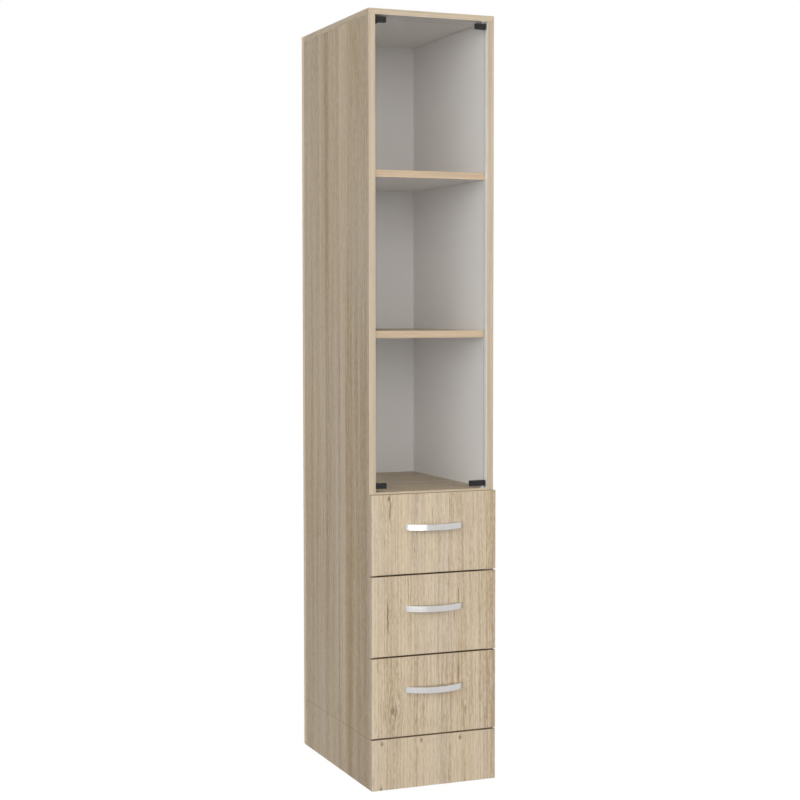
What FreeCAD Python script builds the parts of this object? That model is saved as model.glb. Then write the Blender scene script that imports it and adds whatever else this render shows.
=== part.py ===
import FreeCAD, Part
import math
import os
from types import SimpleNamespace

import Sketcher

# A tall, narrow linen cabinet: a board carcass on a low base, three shelf spaces behind
# a clear pivoting glass door, and below them three drawers on roller runners.
# X runs across, Y from the front to the wall, Z up from the floor under the middle.

# Driving sizes, in millimetres
SIZES = {
    # Carcass boards
    "cabinet_width": 280,
    "cabinet_height": 1600,
    "side_depth": 400,
    "side_thickness": 15,
    "shelf_thickness": 15,
    "top_thickness": 12,
    "back_thickness": 15,
    "base_height": 106,
    "base_front_thickness": 12,
    "shelf_setback": 12,
    "lower_clear_height": 316,
    "middle_clear_height": 314,
    "edge_ease": 0.6,
    # Board fittings
    "dowel_radius": 4,
    "dowel_length": 30,
    "dowel_seat": 10,
    "front_dowel_seat": 8,
    "dowel_inset": 95,
    "base_dowel_inset": 150,
    "cam_radius": 7.5,
    "cam_depth": 12,
    "cam_inset": 24,
    "cam_edge_inset": 60,
    "cam_bolt_radius": 2.5,
    "cam_bolt_shaft_radius": 3.5,
    "cam_bolt_seat": 11,
    "panel_screw_radius": 2,
    "panel_screw_head_radius": 4,
    "panel_screw_bite": 10,
    "top_screw_inset": 70,
    "corner_block_size": 30,
    # Wall bracket
    "bracket_leg": 25,
    "bracket_width": 22,
    "bracket_steel": 2,
    "bracket_hole_radius": 3.25,
    "wall_hole_radius": 2.75,
    # Glass door and its pivots
    "glass_thickness": 4,
    "glass_setback": 4.5,
    "glass_side_gap": 4,
    "glass_ease": 0.5,
    "clip_cheek": 2.5,
    "clip_width": 23,
    "bottom_hinge_clip_width": 34.5,
    "clip_height": 11.8,
    "clip_side_gap": 2,
    "clip_ease": 0.7,
    "hinge_clip_gap": 4.2,
    "hinge_clip_bridge": 4,
    "top_strike_gap": 3.2,
    "bottom_strike_gap": 6.8,
    "clip_screw_radius": 1.8,
    "pivot_inset": 8,
    "hinge_pin_radius": 2,
    "hinge_collar_radius": 3.4,
    "pin_clearance": 0.05,
    "bush_radius": 4.5,
    "bush_depth": 8,
    "bush_flange_radius": 6,
    "bush_flange_thickness": 1.5,
    # Touch latches
    "latch_width": 12,
    "latch_height": 11,
    "latch_case_depth": 22,
    "latch_ear_depth": 14,
    "latch_ear_thickness": 3,
    "plunger_radius": 3,
    "plunger_tip_radius": 2.2,
    "plunger_reach": 4,
    "plunger_seat": 14,
    "plunger_travel": 3,
    # Drawer fronts and boxes
    "drawer_front_height": 166,
    "drawer_front_thickness": 12,
    "drawer_reveal": 3,
    "floor_reveal": 4,
    "front_gap": 0.5,
    "front_ease": 0.9,
    "box_side_room": 12.5,
    "box_rear_room": 45,
    "box_drop": 30,
    "box_wall": 12,
    "box_bottom_thickness": 3,
    "box_bottom_lift": 10,
    "box_groove": 5,
    "front_screw_length": 21,
    "front_screw_spacing": 140,
    # Roller runners
    "runner_lift": 19,
    "runner_front_inset": 2,
    "runner_rear_inset": 3,
    "runner_steel": 1.2,
    "runner_side_gap": 0.8,
    "roller_radius": 7,
    "roller_width": 6,
    "roller_ease": 0.6,
    "running_clearance": 0.3,
    "axle_inset": 14,
    "axle_radius": 2,
    "axle_shoulder_radius": 3.2,
    "axle_head_thickness": 0.6,
    "runner_screw_radius": 1.6,
    "runner_screw_head_radius": 3,
    "runner_screw_length": 12.6,
    # Bow handles
    "handle_overhang": 17,
    "handle_height": 12.5,
    "handle_projection": 25,
    "handle_band": 4.5,
    "handle_foot": 25,
    "handle_end": 2.5,
    "handle_ease": 1,
    "handle_drop": 69,
    "handle_hole_spacing": 96,
    "handle_screw_radius": 2,
    "handle_screw_depth": 7,
    "handle_screw_head_radius": 4,
    "handle_screw_head_height": 2.5,
}
DRAWERS = ("bottom", "middle", "top")
BACK_SCREW_SHARES = (0.05, 0.275, 0.5, 0.725, 0.95)
RUNNER_SCREW_SHARES = (0.17, 0.52, 0.85)
BOX_SCREW_SHARES = (0.3, 0.78)
FRONT_SCREW_SHARE = 0.3
BLOCK_SCREW_SHARES = (0.25, 0.75)
LONG_CLIP_SCREW_SHARES = (0.3, 0.8)

RIGHT = FreeCAD.Vector(1, 0, 0)
LEFT = FreeCAD.Vector(-1, 0, 0)
BACK = FreeCAD.Vector(0, 1, 0)
FORWARD = FreeCAD.Vector(0, -1, 0)
UP = FreeCAD.Vector(0, 0, 1)
DOWN = FreeCAD.Vector(0, 0, -1)
PLANES = {"X": "YZ_Plane", "Y": "XZ_Plane", "Z": "XY_Plane"}

doc = FreeCAD.newDocument("linen_cabinet")
sheet = doc.addObject("Spreadsheet::Sheet", "sizes")
for row, (size_name, millimetres) in enumerate(SIZES.items(), start=1):
    sheet.set(f"A{row}", size_name)
    sheet.set(f"B{row}", str(millimetres))
    sheet.setAlias(f"B{row}", size_name)
doc.recompute()
nodes = {}


class Size:
    """A length made of named sizes: its number now, and the expression that ties it to the sheet."""

    def __init__(self, text, number):
        self.text = text
        self.number = number

    def __add__(self, other):
        other = size_of(other)
        return Size(f"({self.text} + {other.text})", self.number + other.number)

    def __sub__(self, other):
        other = size_of(other)
        return Size(f"({self.text} - {other.text})", self.number - other.number)

    def __mul__(self, factor):
        factor = size_of(factor)
        return Size(f"({self.text} * {factor.text})", self.number * factor.number)

    def __truediv__(self, divisor):
        divisor = size_of(divisor)
        return Size(f"({self.text} / {divisor.text})", self.number / divisor.number)

    def __neg__(self):
        return Size(f"(-1 * {self.text})", -self.number)


def size_of(thing):
    """The thing as a Size, where it is a plain number such as zero or a share."""
    if isinstance(thing, Size):
        return thing
    return Size(str(thing), thing)


def bind(thing, path, size):
    """Ties a property to the sheet."""
    thing.setExpression(path, size_of(size).text)


def place(thing, corner, direction=UP):
    """Turns a thing made along +Z to face the direction, and ties its origin to the corner."""
    thing.Placement = FreeCAD.Placement(FreeCAD.Vector(), FreeCAD.Rotation(UP, direction))
    for axis, size in zip("xyz", corner):
        bind(thing, f"Placement.Base.{axis}", size)


def node(name, thing):
    """Takes a thing into the list of finished pieces, under the piece's own name."""
    thing.Label = name
    nodes[name] = thing
    return thing


def sketch_on(body, axis):
    """A sketch on the body's origin plane that is square to the axis."""
    sketch = body.newObject("Sketcher::SketchObject", "outline")
    plane = next(each for each in body.Origin.OriginFeatures if each.Role == PLANES[axis])
    sketch.AttachmentSupport = [(plane, "")]
    sketch.MapMode = "FlatFace"
    return sketch


def hold(sketch, kind, edge, end, size):
    """Holds one end of an edge at its distance from the sketch's origin, across or up."""
    size = size_of(size)
    if size.number == 0:
        line = -2 if kind == "DistanceX" else -1
        sketch.addConstraint(Sketcher.Constraint("PointOnObject", edge, end, line))
        return
    index = sketch.addConstraint(Sketcher.Constraint(kind, -1, 1, edge, end, size.number))
    bind(sketch, f"Constraints[{index}]", size)


def draw_outline(sketch, points):
    """Draws a closed outline of straight edges through the points."""
    corners = [FreeCAD.Vector(size_of(u).number, size_of(v).number, 0) for u, v in points]
    for start, end in zip(corners, corners[1:] + corners[:1]):
        sketch.addGeometry(Part.LineSegment(start, end), False)
    for edge, (across, up) in enumerate(points):
        before = (edge - 1) % len(points)
        sketch.addConstraint(Sketcher.Constraint("Coincident", before, 2, edge, 1))
        hold(sketch, "DistanceX", edge, 1, across)
        hold(sketch, "DistanceY", edge, 1, up)


def pad(body, sketch, axis, length):
    """Pads a sketch along the positive axis."""
    feature = body.newObject("PartDesign::Pad", "pad")
    feature.Profile = sketch
    feature.Reversed = axis == "Y"
    bind(feature, "Length", length)


def profile(name, axis, points, length, corner):
    """A length of one straight-edged section, padded along an axis from the corner."""
    body = doc.addObject("PartDesign::Body", name)
    place(body, corner)
    sketch = sketch_on(body, axis)
    draw_outline(sketch, points)
    pad(body, sketch, axis, length)
    return body


def ease(body, radius, wanted=lambda edge: True):
    """Rounds the wanted edges of a body."""
    doc.recompute()
    base = body.Tip
    edges = [f"Edge{number}" for number, edge in enumerate(base.Shape.Edges, start=1) if wanted(edge)]
    fillet = body.newObject("PartDesign::Fillet", "ease")
    fillet.Base = (base, edges)
    bind(fillet, "Radius", radius)


def board(name, low, high, radius):
    """A board between two corners, with its edges eased."""
    across, deep, tall = (size_of(end) - start for start, end in zip(low, high))
    section = [(0, 0), (across, 0), (across, deep), (0, deep)]
    body = profile(name, "Z", section, tall, low)
    ease(body, radius)
    return body


def turned(name, points, corner=(0, 0, 0), direction=UP):
    """A turned piece: an outline of (radius, height) points spun about its own axis."""
    body = doc.addObject("PartDesign::Body", name)
    place(body, corner, direction)
    sketch = sketch_on(body, "Y")
    draw_outline(sketch, points)
    spin = body.newObject("PartDesign::Revolution", "spin")
    spin.Profile = sketch
    spin.ReferenceAxis = (sketch, ["V_Axis"])
    spin.Angle = 360.0
    return body


def rod(name, radius, length, corner, direction):
    """A plain round rod from the corner along the direction."""
    cylinder = doc.addObject("Part::Cylinder", name)
    place(cylinder, corner, direction)
    bind(cylinder, "Radius", radius)
    bind(cylinder, "Height", length)
    return cylinder


def screw(name, radius, head_radius, length):
    """A countersunk screw, its flat head at the origin and its point along +Z."""
    shank_start = head_radius - radius
    return turned(name, [(0, 0), (head_radius, 0), (radius, shank_start), (radius, length), (0, length)])


def copies(name, pattern, places):
    """Copies of a pattern piece, one for each (corner, direction)."""
    links = []
    for corner, direction in places:
        link = doc.addObject("App::Link", name)
        link.LinkedObject = pattern
        place(link, corner, direction)
        links.append(link)
    return links


def group(name, things):
    """Several separate solids as one piece."""
    compound = doc.addObject("Part::Compound", name)
    compound.Links = things
    return compound


def both_sides(name, things):
    """Things on the right and their mirror images on the left, as one piece."""
    right = group(f"{name}_right", things)
    left = doc.addObject("Part::Mirroring", f"{name}_left")
    left.Source = right
    left.Normal = RIGHT
    return group(name, [right, left])


def bored(name, blank, tools):
    """A blank with the room for its fittings cut out of it."""
    cut = doc.addObject("Part::Cut", name)
    cut.Base = blank
    cut.Tool = group(f"{name}_tools", tools)
    return cut


def joined(name, base, tool):
    """Two shapes made as one solid."""
    fuse = doc.addObject("Part::Fuse", name)
    fuse.Base = base
    fuse.Tool = tool
    return fuse


# Planes and heights that several pieces share
s = SimpleNamespace(**{name: Size(f"sizes.{name}", value) for name, value in SIZES.items()})
half_width = s.cabinet_width / 2
inner_half = half_width - s.side_thickness
side_middle = half_width - s.side_thickness / 2
front_reach = s.front_gap + s.drawer_front_thickness + s.handle_projection
front_plane = (front_reach - s.side_depth - s.back_thickness) / 2
rear_plane = front_plane + s.side_depth
rear_face = rear_plane + s.back_thickness
ceiling = s.cabinet_height - s.top_thickness
drawer_pitch = s.drawer_front_height + s.drawer_reveal
floor_top = s.base_height + drawer_pitch * len(DRAWERS) + s.floor_reveal
middle_shelf_base = floor_top + s.lower_clear_height
upper_shelf_base = middle_shelf_base + s.shelf_thickness + s.middle_clear_height
cross_boards = {
    "drawer_bay_bottom": (s.base_height, front_plane),
    "display_floor": (floor_top - s.shelf_thickness, front_plane),
    "middle_shelf": (middle_shelf_base, front_plane + s.shelf_setback),
    "upper_shelf": (upper_shelf_base, front_plane + s.shelf_setback),
}
board_middles = [base + s.shelf_thickness / 2 for base, front in cross_boards.values()]
pivot_x = inner_half - s.pivot_inset
glass_front = front_plane + s.glass_setback
glass_rear = glass_front + s.glass_thickness
pivot_y = glass_front + s.glass_thickness / 2
clip_front = glass_front - s.clip_cheek
clip_rear = glass_rear + s.clip_cheek
clip_outer = inner_half - s.clip_side_gap
glass_half = inner_half - s.glass_side_gap
glass_edge_gap = s.hinge_clip_gap + s.hinge_clip_bridge
half_box = inner_half - s.box_side_room
front_rear = front_plane - s.front_gap
front_face = front_rear - s.drawer_front_thickness
box_rear = rear_plane - s.box_rear_room
box_height = s.drawer_front_height - s.box_drop - s.runner_lift - s.runner_steel
runner_front = front_plane + s.runner_front_inset
runner_length = box_rear - s.runner_rear_inset - runner_front
runner_flange = s.box_side_room - s.runner_steel - s.runner_side_gap
flange_height = s.roller_radius * 2 + s.running_clearance * 2
channel_height = flange_height + s.runner_steel * 3 + s.running_clearance
roller_height = s.roller_radius + s.running_clearance
front_axle_y = runner_front + s.axle_inset
rear_axle_y = runner_front + runner_length - s.axle_inset


def drawer_base(number):
    """The height of a drawer front's lower edge, counted from the bottom drawer."""
    return s.base_height + s.drawer_reveal + drawer_pitch * number


def track_height(number):
    """The height of the track that a drawer's rollers run on."""
    return drawer_base(number) + s.runner_lift


# Fasteners that hold the carcass together
def make_dowels():
    """Wooden dowels between the boards."""
    rods = []
    for height in board_middles:
        for deep in (front_plane + s.dowel_inset, rear_plane - s.dowel_inset):
            start = (inner_half + s.dowel_seat, deep, height)
            rods.append(rod("dowel", s.dowel_radius, s.dowel_length, start, LEFT))
    for deep in (front_plane + s.base_dowel_inset, rear_plane - s.base_dowel_inset):
        start = (side_middle, deep, s.base_height - s.dowel_length / 2)
        rods.append(rod("base_dowel", s.dowel_radius, s.dowel_length, start, UP))
    for height in (s.base_height / 3, s.base_height * 2 / 3):
        start = (side_middle, front_plane - s.front_dowel_seat, height)
        rods.append(rod("front_dowel", s.dowel_radius, s.dowel_length, start, BACK))
    return node("panel_dowels", both_sides("panel_dowels", rods))


def make_cams():
    """Cam discs in the undersides of the cross boards, and the bolts that they draw in."""
    length = s.cam_bolt_seat + s.cam_inset - s.cam_radius
    thread, shaft = s.cam_bolt_radius, s.cam_bolt_shaft_radius
    outline = [(0, 0), (thread, 0), (thread, s.cam_bolt_seat)]
    outline += [(shaft, s.cam_bolt_seat), (shaft, length), (0, length)]
    pattern = turned("cam_bolt", outline)
    discs, bolts = [], []
    for base, front in cross_boards.values():
        for deep in (front_plane + s.cam_edge_inset, rear_plane - s.cam_edge_inset):
            centre = (inner_half - s.cam_inset, deep, base)
            discs.append(rod("cam", s.cam_radius, s.cam_depth, centre, UP))
            start = (inner_half + s.cam_bolt_seat, deep, base + s.shelf_thickness / 2)
            bolts.append((start, LEFT))
    node("cam_discs", both_sides("cam_discs", discs))
    node("cam_bolts", both_sides("cam_bolts", copies("cam_bolt", pattern, bolts)))


def block_corners():
    """The front and rear corner blocks' near edges, with the way that each one's end screw points."""
    return ((front_plane, FORWARD), (rear_plane - s.corner_block_size, BACK))


def panel_screw_places():
    """Where the long screws go in: top, back and base blocks, on the right."""
    places = []
    for deep in (front_plane + s.top_screw_inset, rear_plane - s.top_screw_inset):
        places.append(((side_middle, deep, s.cabinet_height), DOWN))
    heights = [s.base_height / 2]
    heights += [s.base_height + (ceiling - s.base_height) * share for share in BACK_SCREW_SHARES]
    places += [((side_middle, rear_face, height), FORWARD) for height in heights]
    places += [((inner_half / 2, rear_face, height), FORWARD) for height in board_middles]
    block = s.corner_block_size
    near, far = BLOCK_SCREW_SHARES
    inner = inner_half - block
    for deep, end_way in block_corners():
        end_start = deep + block if end_way == FORWARD else deep
        places.append(((inner + block * near, deep + block / 2, s.base_height - block), UP))
        places.append(((inner, deep + block * near, s.base_height - block * far), RIGHT))
        places.append(((inner + block * far, end_start, s.base_height - block * near), end_way))
    return places


def make_panel_screws():
    """Long countersunk screws of the carcass."""
    length = s.corner_block_size + s.panel_screw_bite
    pattern = screw("panel_screw", s.panel_screw_radius, s.panel_screw_head_radius, length)
    links = copies("panel_screw", pattern, panel_screw_places())
    node("panel_screws", both_sides("panel_screws", links))
    return pattern


def latch_heights():
    """The middle heights of the top and bottom strike clips."""
    half = s.clip_height / 2
    return {"top": ceiling - s.top_strike_gap - half, "bottom": floor_top + s.bottom_strike_gap + half}


def latch_front():
    """The front of the latch cases, behind the strike clips."""
    return clip_rear + s.running_clearance + s.plunger_reach


def make_runner_screws():
    """Short countersunk screws: of the runners, the wall bracket and the latch cases."""
    radius, head, length = s.runner_screw_radius, s.runner_screw_head_radius, s.runner_screw_length
    pattern = screw("runner_screw", radius, head, length)
    web = inner_half - s.runner_steel
    places = []
    for number in range(len(DRAWERS)):
        height = track_height(number) + roller_height
        for share in RUNNER_SCREW_SHARES:
            places.append(((web, runner_front + runner_length * share, height), RIGHT))
    paired = both_sides("runner_screw_pairs", copies("runner_screw", pattern, places))
    leg_middle = rear_plane - (s.bracket_leg + s.bracket_steel) / 2
    lone = [((0, leg_middle, ceiling - s.bracket_steel), UP)]
    ear_middle = latch_front() + s.latch_case_depth + s.latch_ear_depth / 2
    for height in latch_heights().values():
        lone.append(((s.latch_ear_thickness - inner_half, ear_middle, height), LEFT))
    node("runner_screws", group("runner_screws", [paired, *copies("lone_screw", pattern, lone)]))
    return pattern


# Carcass boards
def make_sides():
    """The two side panels, from the base boards up to the top."""
    tools = [nodes[name] for name in ("panel_dowels", "cam_bolts", "panel_screws", "runner_screws")]
    for name, start in (("left_side_panel", -half_width), ("right_side_panel", inner_half)):
        low = (start, front_plane, s.base_height)
        high = (start + s.side_thickness, rear_plane, ceiling)
        blank = board(f"{name}_blank", low, high, s.edge_ease)
        node(name, bored(name, blank, tools))


def make_cross_boards():
    """The drawer bay's bottom, the display floor and the two shelves, between the sides."""
    names = ("panel_dowels", "cam_bolts", "cam_discs", "panel_screws")
    for name, (base, front) in cross_boards.items():
        low = (-inner_half, front, base)
        high = (inner_half, rear_plane, base + s.shelf_thickness)
        blank = board(f"{name}_blank", low, high, s.edge_ease)
        tools = [nodes[each] for each in names]
        if name == "display_floor":
            tools.append(bush_hole(floor_top, DOWN))
        node(name, bored(name, blank, tools))


def make_top():
    """The top panel, over the side panels' ends."""
    low = (-half_width, front_plane, ceiling)
    high = (half_width, rear_plane, s.cabinet_height)
    blank = board("top_blank", low, high, s.edge_ease)
    tools = [nodes["panel_screws"], nodes["runner_screws"], bush_hole(ceiling, UP)]
    node("top_panel", bored("top_panel", blank, tools))


def wall_hole(radius):
    """A rod through the bracket and the back, where a wall screw goes."""
    start = (0, rear_plane - s.bracket_leg, ceiling - (s.bracket_leg + s.bracket_steel) / 2)
    return rod("wall_hole", radius, s.bracket_leg + s.back_thickness * 2, start, BACK)


def make_back():
    """The back panel, over the rear edges of all the other boards."""
    low = (-half_width, rear_plane, 0)
    high = (half_width, rear_face, s.cabinet_height)
    blank = board("back_blank", low, high, s.edge_ease)
    tools = [nodes["panel_screws"], wall_hole(s.wall_hole_radius)]
    node("back_panel", bored("back_panel", blank, tools))


def make_base():
    """The base: two side boards, a front board and four corner blocks."""
    tools = [nodes["panel_dowels"], nodes["panel_screws"]]
    for name, start in (("base_left_board", -half_width), ("base_right_board", inner_half)):
        low = (start, front_plane, 0)
        high = (start + s.side_thickness, rear_plane, s.base_height)
        blank = board(f"{name}_blank", low, high, s.edge_ease)
        node(name, bored(name, blank, tools))
    low = (-half_width, front_plane - s.base_front_thickness, 0)
    high = (half_width, front_plane, s.base_height)
    blank = board("base_front_blank", low, high, s.edge_ease)
    node("base_front_board", bored("base_front_board", blank, tools))
    blocks = []
    for deep, end_way in block_corners():
        low = (inner_half - s.corner_block_size, deep, s.base_height - s.corner_block_size)
        high = (inner_half, deep + s.corner_block_size, s.base_height)
        blank = board("corner_block_blank", low, high, s.edge_ease)
        blocks.append(bored("corner_block", blank, [nodes["panel_screws"]]))
    node("base_corner_blocks", both_sides("base_corner_blocks", blocks))


def make_bracket():
    """The angle bracket under the top that a wall screw goes through."""
    leg, steel = s.bracket_leg, s.bracket_steel
    section = [(0, 0), (-leg, 0), (-leg, -steel), (-steel, -steel), (-steel, -leg), (0, -leg)]
    corner = (-s.bracket_width / 2, rear_plane, ceiling)
    blank = profile("bracket_blank", "X", section, s.bracket_width, corner)
    tools = [nodes["runner_screws"], wall_hole(s.bracket_hole_radius)]
    node("anti_tip_bracket", bored("anti_tip_bracket", blank, tools))


# Glass door
def make_bushes():
    """Flanged bushes in the ceiling and the display floor, for the door's pins."""
    bore = s.hinge_pin_radius + s.pin_clearance
    outer, flange = s.bush_radius, s.bush_flange_radius
    outline = [(bore, -s.bush_depth), (outer, -s.bush_depth), (outer, 0), (flange, 0)]
    outline += [(flange, s.bush_flange_thickness), (bore, s.bush_flange_thickness)]
    pattern = turned("bush", outline)
    places = [((pivot_x, pivot_y, floor_top), UP), ((pivot_x, pivot_y, ceiling), DOWN)]
    node("hinge_bushes", group("hinge_bushes", copies("bush", pattern, places)))


def bush_hole(height, way):
    """A rod where a bush's sleeve goes into its board, whole, so that no core is left in the bush."""
    return rod("bush_hole", s.bush_radius, s.bush_depth, (pivot_x, pivot_y, height), way)


def make_hinge_pins():
    """The pins that the door turns on, with a collar that rides just off each bush."""
    radius, collar = s.hinge_pin_radius, s.hinge_collar_radius
    seat = s.bush_depth - s.running_clearance
    rest = s.bush_flange_thickness + s.running_clearance
    outline = [(0, -seat), (radius, -seat), (radius, rest), (collar, rest)]
    outline += [(collar, s.hinge_clip_gap), (radius, s.hinge_clip_gap)]
    outline += [(radius, glass_edge_gap), (0, glass_edge_gap)]
    for name, height, way in (("top_hinge_pin", ceiling, DOWN), ("bottom_hinge_pin", floor_top, UP)):
        node(name, turned(name, outline, (pivot_x, pivot_y, height), way))


def make_clip(name, inner, outer, low, screw_shares):
    """A clip over the glass's edge, with the grub screws that hold it. Returns those screws."""
    left, width = inner, outer - inner
    height = low + s.clip_height / 2
    screws = []
    for share in screw_shares:
        start = (left + width * share, glass_rear, height)
        screws.append(rod("clip_screw", s.clip_screw_radius, s.clip_cheek, start, BACK))
    low_corner = (left, clip_front, low)
    high_corner = (outer, clip_rear, low + s.clip_height)
    blank = board(f"{name}_blank", low_corner, high_corner, s.clip_ease)
    pins = [nodes["top_hinge_pin"], nodes["bottom_hinge_pin"]]
    node(name, bored(name, blank, [nodes["glass_door"], *pins, *screws]))
    return screws


def make_door():
    """The glass and its four corner clips."""
    low = (-glass_half, glass_front, floor_top + glass_edge_gap)
    high = (glass_half, glass_rear, ceiling - glass_edge_gap)
    node("glass_door", board("glass_door", low, high, s.glass_ease))
    make_hinge_pins()
    middle_share = (0.5,)
    hinge_top = ceiling - s.hinge_clip_gap - s.clip_height
    hinge_low = floor_top + s.hinge_clip_gap
    strike_top = ceiling - s.top_strike_gap - s.clip_height
    strike_low = floor_top + s.bottom_strike_gap
    long_inner = clip_outer - s.bottom_hinge_clip_width
    strike_inner = s.clip_width - clip_outer
    screws = make_clip("top_hinge_clip", clip_outer - s.clip_width, clip_outer, hinge_top, middle_share)
    screws += make_clip("bottom_hinge_clip", long_inner, clip_outer, hinge_low, LONG_CLIP_SCREW_SHARES)
    screws += make_clip("top_strike_clip", -clip_outer, strike_inner, strike_top, middle_share)
    screws += make_clip("bottom_strike_clip", -clip_outer, strike_inner, strike_low, middle_share)
    node("clip_screws", group("clip_screws", screws))


def make_latches():
    """Touch latches on the left side panel: a case with a fixing ear, and a sprung plunger."""
    case, ear = s.latch_case_depth, s.latch_ear_thickness
    full = case + s.latch_ear_depth
    section = [(0, 0), (s.latch_width, 0), (s.latch_width, case), (ear, case), (ear, full), (0, full)]
    tip, radius = s.plunger_tip_radius, s.plunger_radius
    length = s.plunger_reach + s.plunger_seat
    outline = [(0, 0), (tip, 0), (radius, radius - tip), (radius, length), (0, length)]
    axis_x = s.latch_width / 2 - inner_half
    cases = []
    for end, height in latch_heights().items():
        corner = (-inner_half, latch_front(), height - s.latch_height / 2)
        blank = profile("latch_blank", "Z", section, s.latch_height, corner)
        bore_depth = s.plunger_seat + s.plunger_travel + s.running_clearance
        mouth = (axis_x, latch_front(), height)
        bore = rod("latch_bore", radius + s.pin_clearance, bore_depth, mouth, BACK)
        cases.append(bored("latch_case", blank, [bore, nodes["runner_screws"]]))
        start = (axis_x, clip_rear + s.running_clearance, height)
        node(f"{end}_latch_plunger", turned(f"{end}_latch_plunger", outline, start, BACK))
    node("latch_cases", group("latch_cases", cases))


# Drawer runners
def axle(start, direction):
    """A roller's axle from the web of its runner, with a shoulder and a riveted head."""
    roller_start = (s.box_side_room - s.roller_width) / 2
    shoulder_end = roller_start - s.running_clearance
    head_start = roller_start + s.roller_width + s.running_clearance
    head_end = head_start + s.axle_head_thickness
    thin, wide = s.axle_radius, s.axle_shoulder_radius
    outline = [(0, 0), (wide, 0), (wide, shoulder_end), (thin, shoulder_end), (thin, head_start)]
    outline += [(wide, head_start), (wide, head_end), (0, head_end)]
    return turned("axle", outline, start, direction)


def make_rollers(name, deep, height):
    """A pair of rollers, one at each side, on one line."""
    bore = s.axle_radius + s.pin_clearance
    start = inner_half - (s.box_side_room + s.roller_width) / 2
    outline = [(bore, 0), (s.roller_radius, 0), (s.roller_radius, s.roller_width), (bore, s.roller_width)]
    roller = turned("roller", outline, (start, deep, height), RIGHT)
    rim = s.roller_radius.number
    ease(roller, s.roller_ease, lambda edge: edge.BoundBox.DiagonalLength > 2 * rim)
    node(name, both_sides(name, [roller]))


def make_cabinet_runners():
    """The steel channels on the side panels, each with the axle of its front roller."""
    flange, steel, tall = runner_flange, s.runner_steel, channel_height
    section = [(0, 0), (-flange, 0), (-flange, steel), (-steel, steel)]
    section += [(-steel, tall - steel), (-flange, tall - steel), (-flange, tall), (0, tall)]
    runners = []
    for number, drawer in enumerate(DRAWERS):
        track = track_height(number)
        corner = (inner_half, runner_front, track - steel)
        channel = profile("channel", "Y", section, runner_length, corner)
        pin = axle((inner_half, front_axle_y, track + roller_height), LEFT)
        blank = joined("runner_blank", channel, pin)
        runners.append(bored("cabinet_runner", blank, [nodes["runner_screws"]]))
        make_rollers(f"{drawer}_front_rollers", front_axle_y, track + roller_height)
    node("cabinet_runners", both_sides("cabinet_runners", runners))


def make_drawer_runners(drawer, number, screws):
    """The steel angles under a drawer's sides, each with its rear roller."""
    steel, reach, wall = s.runner_steel, runner_flange, s.box_wall
    section = [(-wall, 0), (steel, 0), (steel, flange_height), (reach, flange_height)]
    section += [(reach, flange_height + steel), (0, flange_height + steel), (0, steel), (-wall, steel)]
    track = track_height(number)
    angle = profile("angle", "Y", section, runner_length, (half_box, runner_front, track))
    pin = axle((half_box, rear_axle_y, track + roller_height), RIGHT)
    blank = joined("drawer_runner_blank", angle, pin)
    runner = bored("drawer_runner", blank, [screws])
    node(f"{drawer}_drawer_runners", both_sides(f"{drawer}_drawer_runners", [runner]))
    make_rollers(f"{drawer}_rear_rollers", rear_axle_y, track + roller_height)


# Drawers
def draw_bow(sketch):
    """Draws a bow handle in plan: an outer and an inner arc that meet the drawer front in flat feet."""
    half, end = s.handle_hole_spacing / 2 + s.handle_overhang, s.handle_end
    inner_end = half - s.handle_foot
    rise = s.handle_projection - end
    inner_rise = s.handle_projection - s.handle_band
    outer_radius = (half * half + rise * rise) / (rise * 2)
    inner_radius = (inner_end * inner_end + inner_rise * inner_rise) / (inner_rise * 2)
    outer_centre = outer_radius.number - s.handle_projection.number
    inner_centre = inner_radius.number - inner_rise.number
    arcs = []
    for reach, foot, centre, radius in (
        (half.number, -end.number, outer_centre, outer_radius.number),
        (inner_end.number, 0, inner_centre, inner_radius.number),
    ):
        circle = Part.Circle(FreeCAD.Vector(0, centre, 0), UP, radius)
        first = math.atan2(foot - centre, -reach)
        last = math.atan2(foot - centre, reach)
        arcs.append(Part.ArcOfCircle(circle, first, last))
    corners = [(half, -end), (half, 0), (inner_end, 0)]
    right = [FreeCAD.Vector(u.number, size_of(v).number, 0) for u, v in corners]
    left = [FreeCAD.Vector(-point.x, point.y, 0) for point in reversed(right)]
    lines = [Part.LineSegment(right[0], right[1]), Part.LineSegment(right[1], right[2])]
    lines += [Part.LineSegment(left[0], left[1]), Part.LineSegment(left[1], left[2])]
    outer, right_end, right_foot, inner, left_foot, left_end = range(6)
    for shape in (arcs[0], lines[0], lines[1], arcs[1], lines[2], lines[3]):
        sketch.addGeometry(shape, False)
    joints = ((outer, 2, right_end, 1), (right_end, 2, right_foot, 1), (right_foot, 2, inner, 2))
    joints += ((inner, 1, left_foot, 1), (left_foot, 2, left_end, 1), (left_end, 2, outer, 1))
    for joint in joints:
        sketch.addConstraint(Sketcher.Constraint("Coincident", *joint))
    for line in (right_end, left_end):
        sketch.addConstraint(Sketcher.Constraint("Vertical", line))
    for edge, point, across in (
        (right_foot, 1, half),
        (right_foot, 2, inner_end),
        (left_foot, 1, None),
        (left_foot, 2, -half),
    ):
        hold(sketch, "DistanceY", edge, point, 0)
        if across is not None:
            hold(sketch, "DistanceX", edge, point, across)
    hold(sketch, "DistanceY", right_end, 1, -end)
    for arc, radius in ((outer, outer_radius), (inner, inner_radius)):
        sketch.addConstraint(Sketcher.Constraint("PointOnObject", arc, 3, -2))
        index = sketch.addConstraint(Sketcher.Constraint("Radius", arc, radius.number))
        bind(sketch, f"Constraints[{index}]", radius)


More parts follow.
